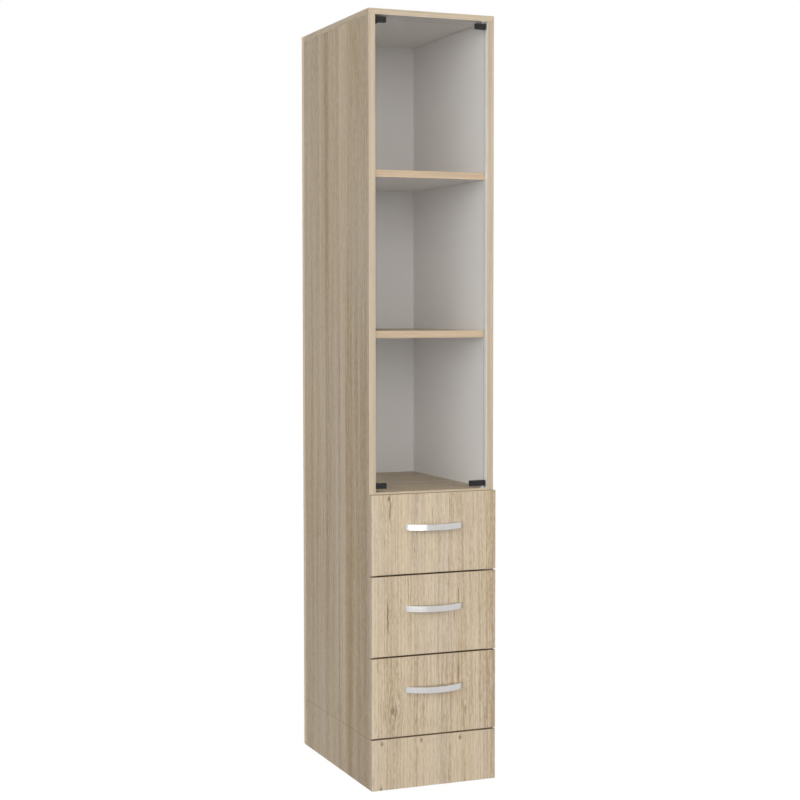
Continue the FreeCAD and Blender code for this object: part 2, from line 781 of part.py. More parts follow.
def make_handle(name, height, screws):
    """A bow handle on a drawer front, with the threaded holes for its two screws."""
    body = doc.addObject("PartDesign::Body", f"{name}_blank")
    place(body, (0, front_face, height - s.handle_height / 2))
    sketch = sketch_on(body, "Z")
    draw_bow(sketch)
    pad(body, sketch, "Z", s.handle_height)
    ease(body, s.handle_ease, lambda edge: isinstance(edge.Curve, Part.Circle))
    node(name, bored(name, body, [screws]))


def make_drawer_fasteners(drawer, patterns, box_low, handle_height):
    """The screws of one drawer: of its box, its front, its handle and its runners."""
    across, inner_face = s.front_screw_spacing / 2, front_rear + s.box_wall
    box, front, handle, runner = patterns
    corner_places = []
    for deep in (front_rear + s.box_wall / 2, box_rear - s.box_wall / 2):
        for share in BOX_SCREW_SHARES:
            corner_places.append(((half_box, deep, box_low + box_height * share), LEFT))
    front_places = [((across, inner_face, box_low + box_height * FRONT_SCREW_SHARE), FORWARD)]
    handle_places = [((s.handle_hole_spacing / 2, inner_face, handle_height), FORWARD)]
    under = box_low - s.runner_steel
    beside_groove = half_box - (s.box_wall - s.box_groove) / 2
    runner_places = []
    for share in RUNNER_SCREW_SHARES:
        deep = runner_front + runner_length * share
        runner_places.append(((beside_groove, deep, under), UP))
    links = copies("box_screw", box, corner_places) + copies("front_screw", front, front_places)
    links += copies("handle_screw", handle, handle_places) + copies("runner_screw", runner, runner_places)
    return node(f"{drawer}_drawer_fasteners", both_sides(f"{drawer}_drawer_fasteners", links))


def make_drawer(drawer, number, patterns):
    """One drawer: front, box, handle, runners and screws."""
    low = drawer_base(number)
    high = low + s.drawer_front_height
    box_low = track_height(number) + s.runner_steel
    box_high = box_low + box_height
    handle_height = high - s.handle_drop
    screws = make_drawer_fasteners(drawer, patterns, box_low, handle_height)
    inner_box = half_box - s.box_wall
    box_front = front_rear + s.box_wall
    box_back = box_rear - s.box_wall
    bottom_low = box_low + s.box_bottom_lift
    bottom_high = bottom_low + s.box_bottom_thickness
    groove = s.box_groove
    corner = (-inner_box - groove, box_front - groove, bottom_low)
    across, deep = (inner_box + groove) * 2, box_back - box_front + groove * 2
    sheet_outline = [(0, 0), (across, 0), (across, deep), (0, deep)]
    bottom = profile(f"{drawer}_drawer_bottom", "Z", sheet_outline, bottom_high - bottom_low, corner)
    node(f"{drawer}_drawer_bottom", bottom)
    front_low, front_high = (-half_width, front_face, low), (half_width, front_rear, high)
    front = board("front_blank", front_low, front_high, s.front_ease)
    node(f"{drawer}_drawer_front", bored(f"{drawer}_drawer_front", front, [screws]))
    side_low, side_high = (inner_box, front_rear, box_low), (half_box, box_rear, box_high)
    side = board("side_blank", side_low, side_high, s.edge_ease)
    side = bored("box_side", side, [screws, bottom])
    node(f"{drawer}_drawer_sides", both_sides(f"{drawer}_drawer_sides", [side]))
    ends = []
    for start in (front_rear, box_back):
        end_low = (-inner_box, start, box_low)
        end_high = (inner_box, start + s.box_wall, box_high)
        ends.append(bored("box_end", board("end_blank", end_low, end_high, s.edge_ease), [screws, bottom]))
    node(f"{drawer}_drawer_ends", group(f"{drawer}_drawer_ends", ends))
    make_handle(f"{drawer}_drawer_handle", handle_height, screws)
    make_drawer_runners(drawer, number, screws)


def handle_screw():
    """A pan-headed screw that goes through a drawer's two fronts into its handle."""
    length = s.box_wall + s.drawer_front_thickness + s.handle_screw_depth
    radius, head, tall = s.handle_screw_radius, s.handle_screw_head_radius, s.handle_screw_head_height
    outline = [(0, -tall), (head, -tall), (head, 0), (radius, 0), (radius, length), (0, length)]
    return turned("handle_screw", outline)


def make_cabinet():
    """Every piece, fasteners first, because the boards are bored for them."""
    make_dowels()
    make_cams()
    box_screw = make_panel_screws()
    runner_screw = make_runner_screws()
    front_screw = screw(
        "front_screw", s.panel_screw_radius, s.panel_screw_head_radius, s.front_screw_length
    )
    make_bushes()
    make_sides()
    make_cross_boards()
    make_top()
    make_back()
    make_base()
    make_bracket()
    make_door()
    make_latches()
    make_cabinet_runners()
    patterns = (box_screw, front_screw, handle_screw(), runner_screw)
    for number, drawer in enumerate(DRAWERS):
        make_drawer(drawer, number, patterns)


def check_and_export():
    """Stops if anything failed to build, then writes each piece's shape to its own file."""
    doc.recompute()
    for thing in doc.Objects:
        if "Invalid" in thing.State or "Error" in thing.State:
            raise RuntimeError(f"{thing.Label} did not build: {thing.State}")
    for name, thing in nodes.items():
        shape = thing.Shape
        if shape.isNull() or not shape.isValid() or not shape.Solids:
            raise RuntimeError(f"{name} has no valid solid")
    os.makedirs("parts", exist_ok=True)
    for name, thing in nodes.items():
        thing.Shape.exportStep(f"parts/{name}.step")
        print(f"{name}: {len(thing.Shape.Solids)} solids, {thing.Shape.Volume:.0f} mm3")


make_cabinet()
check_and_export()
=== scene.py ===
"""Linen cabinet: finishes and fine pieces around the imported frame, laid out as a Blender add-on."""
import math

import bmesh
import bpy
from bpy.props import FloatProperty, FloatVectorProperty, PointerProperty
from bpy.types import Operator, Panel, PropertyGroup
from mathutils import Matrix, Vector


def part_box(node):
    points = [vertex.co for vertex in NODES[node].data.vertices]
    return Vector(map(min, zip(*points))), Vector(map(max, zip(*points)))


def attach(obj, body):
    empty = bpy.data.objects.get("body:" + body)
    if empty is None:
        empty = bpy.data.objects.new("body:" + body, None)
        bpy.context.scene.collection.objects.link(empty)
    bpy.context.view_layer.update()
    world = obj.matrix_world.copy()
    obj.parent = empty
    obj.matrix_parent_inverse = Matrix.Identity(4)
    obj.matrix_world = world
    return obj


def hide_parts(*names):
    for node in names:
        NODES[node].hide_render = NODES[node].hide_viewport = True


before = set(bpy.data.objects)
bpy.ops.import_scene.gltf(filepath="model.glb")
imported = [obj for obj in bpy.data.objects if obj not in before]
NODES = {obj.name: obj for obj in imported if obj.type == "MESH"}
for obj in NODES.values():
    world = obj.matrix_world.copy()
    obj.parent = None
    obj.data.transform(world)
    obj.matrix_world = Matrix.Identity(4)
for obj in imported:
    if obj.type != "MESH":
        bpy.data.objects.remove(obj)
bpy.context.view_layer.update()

bl_info = {
    "name": "Linen cabinet",
    "version": (1, 0, 0),
    "blender": (4, 5, 0),
    "location": "3D View > Sidebar > Cabinet",
    "description": "Dresses the frame of a linen cabinet with its finishes and its fine pieces",
    "category": "Object",
}

MM = 0.001

# Directions on the cabinet: its front looks towards -Y, and the photograph is taken from the left.
LEFT, RIGHT = Vector((-1, 0, 0)), Vector((1, 0, 0))
FRONT, REAR = Vector((0, -1, 0)), Vector((0, 1, 0))
DOWN, UP = Vector((0, 0, -1)), Vector((0, 0, 1))

DRAWERS = ("bottom", "middle", "top")
CARCASS_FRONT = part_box("left_side_panel")[0].y

# Ranges for ramps are (low, high) or (low, high, start, end).
FACING = (0.65, 0.75)  # how far a face's normal points one way: not yet facing it, and facing it
ARRIS = (0.97, 0.80)  # the largest part of a normal: on a flat face, and well round the edge
NOISE_REACH = (0.3, 0.7)  # where most values of noise lie

# Noise in the finishes: clouds to the metre across and along the grain, then detail and roughness.
CLOUDS = {
    "drift": (6, 0.9), "warmth": (20, 1.4), "pores": (620, 26, 2.0, 0.6), "spokes": (900, 300, 1.0),
    "cracks": (30, 45), "band": (300, 2.5), "wear": (160, 160), "white": (9, 9, 3.0),
    "white_stipple": (1400, 1400, 1.0), "white_gloss": (40, 40, 3.0), "beech": (420, 14, 3.0, 0.6),
    "beech_flecks": (1400, 160, 1.0), "metal": (130, 130, 3.0), "moulding": (90, 90, 3.0),
    "glass": (14, 5, 3.0), "floor": (3, 3),
}

# Layers of the oak's figure: their noise, and their weight in the tone.
OAK_LAYERS = {
    "bands": ((34, 0.35), 0.30),
    "stripes": ((130, 2.0, 3.0, 0.6), 0.15),
    "lines": ((520, 9.0, 2.0, 0.6), 0.16),
    "dashes": ((480, 34, 2.0, 0.6), 0.18),
    "fine": ((1100, 90, 2.0, 0.6), 0.30),
}
OAK_MIDDLE, OAK_CONTRAST = 0.555, 5.0
OAK_DRIFT = 12 * MM
PORE_RANGE, PORE_SHARE = (0.58, 0.70), 0.26

# Growth rings: where the pith lies across the board, its lean and its depth, how closely the rings follow one
# another, how far the stripes push them, and their weight in the tone.
PITH_ACROSS, PITH_LEAN, PITH_DEPTH = 52 * MM, 0.02, 30 * MM
RING_TURNS, RING_WAVE, RING_WEIGHT = 900.0, 9.0, 0.04

# Knots and cracks in the oak, and the line of the joint above the base.
KNOT_PULL, KNOT_EYE, KNOT_SPOKES = (4.0, 0.6, 0.0, 0.75), (1.15, 0.3), (0.35, 0.6, 0.35, 1.0)
CRACK_SWING = 6 * MM
JOINT_LINE = (0.9 * MM, 0.3 * MM, 0.0, 0.5)
MARK_SHARE = 0.92

# Surface of the boards: roughness from the relief, how far bands and wear cover the oak, gloss and relief.
OAK_ROUGHNESS, OAK_GLOSS, OAK_RELIEF = (-0.8, 0.5, 0.68, 0.5), 0.22, 0.12 * MM
BAND_STREAKS, BAND_SHARE, WEAR_SHARE = (0.35, 0.65, 0.85, 1.09), 0.75, 0.55
WHITE_SMOOTHER, BARE_ROUGHNESS = 0.06, 0.85

# Glass: what it lets through, its index and share of reflection, smears, and how far its edges show green.
GLASS_TINT, GLASS_INDEX, GLASS_SHINE = (0.994, 0.996, 0.994, 1.0), 1.45, 0.3
GLASS_SMEARS, GLASS_EDGES = (0.4, 0.8, 0.0, 0.05), (0.9, 0.5, 0.0, 0.08)

# Modelling: what counts as one point, as a face that looks one way, and as an edge to shade or to round.
MERGE = 1e-6
LOOKS = 0.9
SMOOTH_BELOW, SCREW_SMOOTH_BELOW = math.radians(40), math.radians(30)
SHEET_CORNER, ROLLER_CORNER = 50, 40
CROSS_ARM, CROSS_WAIST, CROSS_TAPER = 20, 0.42, 0.6

# Stage: the dome's fall-off from the front and towards the top, the floor and the strip lamp.
DOME_FRONT, DOME_TOP = (0.0, 0.95), (0.0, 0.6, 1.0, 0.2)
FLOOR_SIZE, FLOOR_TONES = 60, ((0.19, 0.19, 0.19, 1), (0.22, 0.22, 0.22, 1))
FLOOR_GLOW, GLOW_SHARE = 1.15, 0.85
LAMP_SIZE, LAMP_AIM = (2.5, 0.36), Vector((0, CARCASS_FRONT, 0.3))
LAMP_PLACE = (-1.57, CARCASS_FRONT - 2.72, 0.2)
WHITE = (1.0, 1.0, 1.0, 1.0)


def shade(red, green, blue):
    """A colour given as screen values from 0 to 255, as Blender's linear colour."""
    linear = []
    for value in (red / 255, green / 255, blue / 255):
        linear.append(value / 12.92 if value <= 0.04045 else ((value + 0.055) / 1.055) ** 2.4)
    return (*linear, 1.0)


def colour(name, description, *screen):
    """A colour property."""
    return FloatVectorProperty(name=name, description=description, subtype="COLOR", size=4, min=0.0, max=1.0,
                               default=shade(*screen))


def length(name, description, millimetres):
    """A length property, shown in the scene's unit."""
    return FloatProperty(name=name, description=description, unit="LENGTH", subtype="DISTANCE", min=0.0,
                         default=millimetres * MM, precision=5)


def turn_angle(name, description, degrees):
    """An angle property."""
    return FloatProperty(name=name, description=description, subtype="ANGLE", default=math.radians(degrees))


def light_level(name, description, strength):
    """A property for the strength of a light in the world."""
    return FloatProperty(name=name, description=description, min=0.0, default=strength)


class CabinetFinishes(PropertyGroup):
    """Colours of the boards and fittings."""

    oak_pale: colour("Pale oak", "Lightest bands of the oak's figure", 211, 196, 172)
    oak_tan: colour("Tan oak", "Middle tone of the oak's figure", 195, 179, 155)
    oak_deep: colour("Deep oak", "Darkest streaks of the oak's figure", 168, 147, 116)
    oak_mark: colour("Oak marks", "Knots and cracks in the oak", 106, 85, 58)
    front_band: colour("Front band", "Plain band on the front edges of the carcass", 197, 180, 157)
    # Painted shade: this band stands in for the shadow in the gaps on top of the drawer fronts and the
    # plinth.
    gap_shade_band: colour("Drawer band", "Darker band on top of the drawer fronts and the plinth", 148, 126, 98)
    shelf_band: colour("Shelf band", "Warmer band on the front edges of the shelves", 219, 192, 161)
    back_band: colour("Back band", "Paler band on the edges of the back panel", 244, 222, 194)
    white_foil: colour("White facing", "Inner faces of the boards", 240, 237, 235)
    chip_pale: colour("Pale chips", "Light chips in bare board edges", 214, 186, 142)
    chip_dark: colour("Dark chips", "Dark chips in bare board edges", 150, 116, 78)
    softwood: colour("Beech", "Corner blocks and dowels", 214, 178, 132)
    clip_black: colour("Black clips", "Clips that hold the glass", 24, 24, 25)
    black_plastic: colour("Black plastic", "Touch latches", 40, 40, 41)
    silver: colour("Satin silver", "Drawer handles", 203, 202, 200)
    zinc: colour("Zinc", "Screws, bolts, pins and cams", 206, 208, 210)
    coat: colour("Runner coat", "Sheet steel of the runners", 228, 226, 218)
    nylon: colour("Grey nylon", "Rollers and bushes", 190, 191, 188)
    glass_edge: colour("Glass edge", "Green of the door's edges", 120, 168, 150)


class CabinetDetails(PropertyGroup):
    """Sizes of the details that the frame leaves plain."""

    handle_band: length("Handle band", "Thickness of the bow handle at its middle", 4.5)
    handle_foot: length("Handle foot", "Length of the handle's solid foot at each end", 25.0)
    handle_tip: length("Handle tip", "Thickness of the handle at its tips", 1.0)
    handle_round: length("Handle rounding", "Rounding along the handle's edges", 0.35)
    sheet_edge: length("Sheet edge", "Rounding of the runners' and the bracket's edges", 0.3)
    latch_edge: length("Latch edge", "Rounding of the latch cases' edges", 0.5)
    roller_bore: length("Roller bore", "Radius of the hole in a roller", 2.05)


class CabinetStage(PropertyGroup):
    """Camera and light of the photograph."""

    lens: FloatProperty(name="Lens", description="Camera's focal length", unit="CAMERA", default=77.471)
    camera_place: FloatVectorProperty(
        name="Camera", description="Place of the camera", subtype="TRANSLATION", unit="LENGTH",
        default=(-1.40272, -3.46210, 0.99585),
    )
    camera_turn: turn_angle("Turn", "How far the camera looks to the right", 22.129)
    camera_dip: turn_angle("Dip", "How far the camera looks down", 3.073)
    camera_roll: turn_angle("Roll", "How far the camera leans about its line of sight", -0.047)
    front_light: light_level("Front light", "Strength of the soft light in front", 2.8)
    rear_light: light_level("Rear light", "Strength of the light from high behind", 3.6)
    shade_light: light_level("Shade light", "Strength of the light all round", 0.07)
    window_light: light_level("Window", "Strength of the light from the front left", 2.8)
    window_turn: turn_angle("Window turn", "How far to the left that light stands", 54)
    fill_light: light_level("Fill", "Strength of the light from the front right", 1.9)
    strip: FloatProperty(name="Strip lamp", description="Power of the low strip lamp that the handles show",
                         unit="POWER", min=0.0, default=5.7)


class Finish:
    """A node tree in the making, with short calls that add a node and give its result."""

    def __init__(self, tree):
        self.tree = tree

    def node(self, kind, feeds=None, **settings):
        """Adds a node, with its settings and what goes into its sockets."""
        node = self.tree.nodes.new(kind)
        for key, value in settings.items():
            setattr(node, key, value)
        for key, value in (feeds or {}).items():
            self.feed(node.inputs[key], value)
        return node

    def feed(self, socket, value):
        """Links another node's result to a socket, or sets the socket's own value."""
        if isinstance(value, bpy.types.NodeSocket):
            self.tree.links.new(value, socket)
        else:
            socket.default_value = value

    def math(self, operation, *values):
        """Arithmetic on numbers."""
        return self.node("ShaderNodeMath", dict(enumerate(values)), operation=operation).outputs[0]

    def vector(self, operation, *values):
        """Arithmetic on vectors."""
        return self.node("ShaderNodeVectorMath", dict(enumerate(values)), operation=operation).outputs[0]

    def dot(self, vector, direction):
        """How far a vector points in a direction."""
        node = self.node("ShaderNodeVectorMath", {0: vector, 1: direction}, operation="DOT_PRODUCT")
        return node.outputs["Value"]

    def ramp(self, value, low, high, start=0.0, end=1.0):
        """Start below low, end above high, even in between."""
        feeds = {"Value": value, "From Min": low, "From Max": high, "To Min": start, "To Max": end}
        return self.node("ShaderNodeMapRange", feeds).outputs["Result"]

    def surface(self):
        """The place on the piece in metres, and the way its surface looks."""
        source = self.node("ShaderNodeTexCoord").outputs
        return source["Object"], source["Normal"]

    def facing(self, normal, direction, share=1.0):
        """The share where a face looks in a direction, and 0 elsewhere."""
        return self.ramp(self.dot(normal, direction), *FACING, 0.0, share)

    def arris(self, normal, share=1.0):
        """The share on the rounded edges between a board's faces, and 0 on the faces."""
        side = self.node("ShaderNodeSeparateXYZ", {0: self.vector("ABSOLUTE", normal)}).outputs
        flat = self.math("MAXIMUM", self.math("MAXIMUM", side[0], side[1]), side[2])
        return self.ramp(flat, *ARRIS, 0.0, share)

    def distance(self, across, along):
        """The straight distance over two legs at a right angle."""
        squares = [self.math("POWER", leg, 2.0) for leg in (across, along)]
        return self.math("SQRT", self.math("ADD", *squares))

    def noise(self, place, across, along, detail=2.0, roughness=0.5, output=0):
        """Cloudy noise with so many clouds to the metre across the grain and along it."""
        stretched = self.vector("MULTIPLY", place, (across, across, along))
        feeds = {"Vector": stretched, "Scale": 1.0, "Detail": detail, "Roughness": roughness}
        return self.node("ShaderNodeTexNoise", feeds).outputs[output]

    def mix(self, share, first, second, blend="MIX"):
        """Second colour over the first."""
        node = self.node("ShaderNodeMix", data_type="RGBA", blend_type=blend)
        for place, value in ((0, share), (6, first), (7, second)):
            self.feed(node.inputs[place], value)
        return node.outputs[2]

    def choose(self, share, first, second):
        """Second vector where share is 1, the first where it is 0."""
        node = self.node("ShaderNodeMix", data_type="VECTOR")
        for place, value in ((0, share), (4, first), (5, second)):
            self.feed(node.inputs[place], value)
        return node.outputs[1]

    def bump(self, height, depth):
        """Surface relief of that depth in metres."""
        feeds = {"Height": height, "Distance": depth, "Strength": 1.0}
        return self.node("ShaderNodeBump", feeds).outputs[0]


def start_material(name):
    """A new material, its node tree and its surface shader."""
    material = bpy.data.materials.new(name)
    material.use_nodes = True
    finish = Finish(material.node_tree)
    return material, finish, material.node_tree.nodes["Principled BSDF"]


def set_sockets(finish, shader, **sockets):
    """Feeds the shader's sockets, named with underscores for spaces."""
    for name, value in sockets.items():
        finish.feed(shader.inputs[name.replace("_", " ")], value)


def oak_figure():
    """The oak's figure, shared by all boards: from the place as (across, through, along) in metres, the
    contrast and the shift of tone it gives the colour and the relief of grain and pores."""
    if "oak_figure" in bpy.data.node_groups:
        return bpy.data.node_groups["oak_figure"]
    colours = bpy.context.scene.cabinet_finishes
    group = bpy.data.node_groups.new("oak_figure", "ShaderNodeTree")
    sockets = {"Place": ("INPUT", "Vector"), "Strength": ("INPUT", "Float"), "Shift": ("INPUT", "Float"),
               "Colour": ("OUTPUT", "Color"), "Relief": ("OUTPUT", "Float")}
    for name, (way, kind) in sockets.items():
        group.interface.new_socket(name, in_out=way, socket_type=f"NodeSocket{kind}")
    finish = Finish(group)
    given = finish.node("NodeGroupInput").outputs
    place = given["Place"]

    # The grain drifts a few millimetres sideways along the board.
    drift = finish.vector("SUBTRACT", finish.noise(place, *CLOUDS["drift"], output="Color"), (0.5, 0.5, 0.5))
    place = finish.vector("ADD", place, finish.vector("MULTIPLY", drift, (OAK_DRIFT, OAK_DRIFT, 0.0)))
    layers = {name: finish.noise(place, *clouds) for name, (clouds, weight) in OAK_LAYERS.items()}
    pores = finish.ramp(finish.noise(place, *CLOUDS["pores"]), *PORE_RANGE)

    # Growth rings about a leaning pith, cut by a flat face into tall arches.
    split = finish.node("ShaderNodeSeparateXYZ", {0: place})
    sideways = finish.math("SUBTRACT", split.outputs[0], PITH_ACROSS)
    lean = finish.math("MULTIPLY_ADD", split.outputs[2], PITH_LEAN, PITH_DEPTH)
    radius = finish.math("MULTIPLY", finish.distance(sideways, lean), RING_TURNS)
    turns = finish.math("MULTIPLY_ADD", layers["stripes"], RING_WAVE, radius)
    rings = finish.math("MULTIPLY_ADD", finish.math("SINE", turns), 0.5, 0.5)

    tone = finish.math("MULTIPLY", rings, RING_WEIGHT)
    for name, (clouds, weight) in OAK_LAYERS.items():
        tone = finish.math("MULTIPLY_ADD", layers[name], weight, tone)
    tone = finish.math("MULTIPLY", finish.math("SUBTRACT", tone, OAK_MIDDLE), OAK_CONTRAST)
    tone = finish.math("ADD", finish.math("MULTIPLY_ADD", tone, given["Strength"], 0.5), given["Shift"])
    oak = finish.node("ShaderNodeValToRGB", {"Fac": tone})
    stops = oak.color_ramp.elements
    stops[0].color, stops[1].color = colours.oak_deep, colours.oak_pale
    stops.new(0.5).color = colours.oak_tan
    warm = finish.noise(place, *CLOUDS["warmth"])
    tint = finish.mix(finish.ramp(warm, 0.35, 0.65), shade(255, 252, 245), shade(252, 251, 254))
    oak = finish.mix(1.0, oak.outputs[0], tint, "MULTIPLY")
    oak = finish.mix(finish.math("MULTIPLY", pores, PORE_SHARE), oak, colours.oak_mark)
    relief = finish.math("SUBTRACT", finish.math("MULTIPLY", layers["fine"], 0.5), pores)
    finish.node("NodeGroupOutput", {"Colour": oak, "Relief": relief})
    return group


def white_face(finish, place):
    """Colour and relief of the boards' white facing: even, with a faint cloud and a fine stipple."""
    colours = bpy.context.scene.cabinet_finishes
    cloud = finish.ramp(finish.noise(place, *CLOUDS["white"]), *NOISE_REACH, 0.0, 0.5)
    white = finish.mix(cloud, colours.white_foil, shade(235, 233, 230))
    stipple = finish.noise(place, *CLOUDS["white_stipple"])
    return white, finish.math("MULTIPLY", stipple, 0.35)


def bare_edge(finish, place):
    """Colour of a bare chipboard edge."""
    colours = bpy.context.scene.cabinet_finishes
    chips = finish.node("ShaderNodeTexVoronoi", {"Vector": place, "Scale": 420.0})
    grey = finish.math("FRACT", finish.math("MULTIPLY", finish.dot(chips.outputs["Color"], (1, 1, 1)), 3.7))
    return finish.mix(grey, colours.chip_dark, colours.chip_pale)


def grain_places(finish, place, grain):
    """The place as (across, through, along) for a board whose grain runs along X or Z, and the same for the
    edges that cross the grain, where the band's own grain runs along the edge."""
    x, y, z = finish.node("ShaderNodeSeparateXYZ", {0: place}).outputs
    orders = {"X": ((y, z, x), (x, z, y)), "Z": ((x, y, z), (y, z, x))}
    return [finish.node("ShaderNodeCombineXYZ", dict(enumerate(order))).outputs[0]
            for order in orders[grain]]


def grain_marks(finish, place, grain_place, knots, cracks, joint):
    """Knots push the grain aside and darken their middle, cracks are thin wandering lines, and a joint
    crosses the grain. Gives the place in the grain, pushed aside, and how dark the marks are."""
    across, through, along = finish.node("ShaderNodeSeparateXYZ", {0: grain_place}).outputs
    pushed, dark = across, 0.0
    for knot_across, knot_along, half_width, half_height in knots:
        aside = finish.math("SUBTRACT", across, knot_across * MM)
        ahead = finish.math("SUBTRACT", along, knot_along * MM)
        reach = finish.distance(finish.math("DIVIDE", aside, half_width * MM),
                                finish.math("DIVIDE", ahead, half_height * MM))
        near = finish.ramp(reach, *KNOT_PULL)
        pushed = finish.math("SUBTRACT", pushed, finish.math("MULTIPLY", aside, near))
        spokes = finish.ramp(finish.noise(place, *CLOUDS["spokes"]), *KNOT_SPOKES)
        eye = finish.math("MULTIPLY", finish.ramp(reach, *KNOT_EYE), spokes)
        dark = finish.math("MAXIMUM", dark, eye)
    swing = finish.noise(place, *CLOUDS["cracks"])
    wander = finish.math("MULTIPLY_ADD", swing, CRACK_SWING, -CRACK_SWING / 2)
    for crack_across, crack_along, crack_length, crack_width, crack_dark in cracks:
        aside = finish.math("ADD", finish.math("SUBTRACT", across, crack_across * MM), wander)
        ahead = finish.math("ABSOLUTE", finish.math("SUBTRACT", along, crack_along * MM))
        body = finish.ramp(ahead, crack_length * MM / 2, crack_length * MM / 4, 0.0, crack_dark)
        line = finish.ramp(finish.math("ABSOLUTE", aside), crack_width * MM, crack_width * MM / 4)
        dark = finish.math("MAXIMUM", dark, finish.math("MULTIPLY", body, line))
    if joint is not None:
        apart = finish.math("ABSOLUTE", finish.math("SUBTRACT", along, joint * MM))
        dark = finish.math("MAXIMUM", dark, finish.ramp(apart, *JOINT_LINE))
    return finish.node("ShaderNodeCombineXYZ", {0: pushed, 1: through, 2: along}).outputs[0], dark


def board_finish(name, grain, white, bare=(), band=None, banded=(), knots=(), cracks=(), strength=1.2,
                 shift=0.0, joint=None):
    """Board faced with oak: white on the side that faces one direction, with bare chipboard on some edges
    and a band of another colour on some. Knots are (across, along, half width, half height), cracks (across,
    along, length, width, how dark), and a joint is the height of a dark line across the grain, with lengths
    in millimetres. Strength is the contrast of the figure, and shift makes it paler or darker."""
    material, finish, shader = start_material(name)
    colours = bpy.context.scene.cabinet_finishes
    place, normal = finish.surface()
    axis = {"X": RIGHT, "Z": UP}[grain]
    crossing = finish.ramp(finish.math("ABSOLUTE", finish.dot(normal, axis)), *FACING)
    grain_place = finish.choose(crossing, *grain_places(finish, place, grain))
    grain_place, dark = grain_marks(finish, place, grain_place, knots, cracks, joint)
    feeds = {"Place": grain_place, "Strength": strength, "Shift": shift}
    figure = finish.node("ShaderNodeGroup", feeds, node_tree=oak_figure())
    face, relief = figure.outputs["Colour"], figure.outputs["Relief"]
    if knots or cracks or joint is not None:
        face = finish.mix(finish.math("MULTIPLY", dark, MARK_SHARE), face, colours.oak_mark)
    if banded:
        streaks = finish.ramp(finish.noise(grain_place, *CLOUDS["band"]), *BAND_STREAKS)
        band = finish.mix(1.0, band, streaks, "MULTIPLY")
    for direction in banded:
        face = finish.mix(finish.facing(normal, direction, BAND_SHARE), face, band)

    # The arrises show a thin dark glue line and a little wear.
    worn = finish.math("MULTIPLY", finish.arris(normal), finish.noise(place, *CLOUDS["wear"]))
    face = finish.mix(finish.math("MULTIPLY", worn, WEAR_SHARE), face, colours.oak_mark)

    roughness = finish.ramp(relief, *OAK_ROUGHNESS)
    inner, stipple = white_face(finish, place)
    share = finish.facing(normal, white)
    face = finish.mix(share, face, inner)
    relief = finish.math("ADD", finish.math("MULTIPLY", relief, finish.math("SUBTRACT", 1.0, share)),
                         finish.math("MULTIPLY", stipple, share))
    roughness = finish.math("SUBTRACT", roughness, finish.math("MULTIPLY", share, WHITE_SMOOTHER))
    for direction in bare:
        share = finish.facing(normal, direction)
        face = finish.mix(share, face, bare_edge(finish, place))
        roughness = finish.math("MAXIMUM", roughness, finish.math("MULTIPLY", share, BARE_ROUGHNESS))
    set_sockets(finish, shader, Base_Color=face, Roughness=roughness, Specular_IOR_Level=OAK_GLOSS,
                Normal=finish.bump(relief, OAK_RELIEF))
    return material


def white_board_finish():
    """White board of the drawer boxes and the drawer bay, with a faint darker line along its edges."""
    material, finish, shader = start_material("white_faced_board")
    place, normal = finish.surface()
    white, stipple = white_face(finish, place)
    white = finish.mix(finish.arris(normal, 0.35), white, shade(150, 148, 142))
    rough = finish.ramp(finish.noise(place, *CLOUDS["white_gloss"]), *NOISE_REACH, 0.36, 0.5)
    set_sockets(finish, shader, Base_Color=white, Roughness=rough, Normal=finish.bump(stipple, 0.1 * MM))
    return material


def beech_finish():
    """Plain hardwood of the corner blocks and dowels, grain along X."""
    material, finish, shader = start_material("plain_beech")
    colours = bpy.context.scene.cabinet_finishes
    place = grain_places(finish, finish.surface()[0], "X")[0]
    streaks = finish.noise(place, *CLOUDS["beech"])
    flecks = finish.ramp(finish.noise(place, *CLOUDS["beech_flecks"]), 0.6, 0.7)
    wood = finish.mix(finish.ramp(streaks, *NOISE_REACH), shade(186, 146, 98), colours.softwood)
    wood = finish.mix(finish.math("MULTIPLY", flecks, 0.4), wood, shade(150, 108, 66))
    rough = finish.ramp(streaks, *NOISE_REACH, 0.7, 0.55)
    set_sockets(finish, shader, Base_Color=wood, Roughness=rough, Normal=finish.bump(streaks, 0.1 * MM))
    return material


def metal_finish(name, tone, smooth, rough, mottle, along="X", scale=(900, 30)):
    """Bare metal with fine marks that run along one axis, and a soft cloud of duller patches."""
    material, finish, shader = start_material(name)
    place = grain_places(finish, finish.surface()[0], along)[0]
    marks = finish.noise(place, *scale, 2.0, 0.6)
    cloud = finish.noise(place, *CLOUDS["metal"])
    face = finish.mix(finish.ramp(cloud, *NOISE_REACH, 0.0, mottle), tone, shade(120, 122, 126))
    dull = finish.ramp(cloud, 0.4, 0.7, 0.0, 0.08)
    roughness = finish.math("ADD", finish.ramp(marks, *NOISE_REACH, smooth, rough), dull)
    set_sockets(finish, shader, Base_Color=face, Metallic=1.0, Roughness=roughness,
                Normal=finish.bump(marks, 0.004 * MM))
    return material


def moulded_finish(name, tone, other, smooth, rough, grain=1500, depth=0.05 * MM, gloss=0.5):
    """Moulded plastic or a sprayed coat: a fine even grain and a slight cloud of tone."""
    material, finish, shader = start_material(name)
    place = finish.surface()[0]
    cloud = finish.noise(place, *CLOUDS["moulding"])
    stipple = finish.noise(place, grain, grain)
    face = finish.mix(finish.ramp(cloud, *NOISE_REACH), tone, other)
    roughness = finish.ramp(stipple, *NOISE_REACH, smooth, rough)
    set_sockets(finish, shader, Base_Color=face, Roughness=roughness, Specular_IOR_Level=gloss,
                Normal=finish.bump(stipple, depth))
    return material


def zinc_finish():
    """Bright zinc plate of the small steel fittings."""
    made = bpy.data.materials.get("bright_zinc")
    zinc = bpy.context.scene.cabinet_finishes.zinc
    return made or metal_finish("bright_zinc", zinc, smooth=0.24, rough=0.4, mottle=0.3, along="Z",
                                scale=(500, 200))


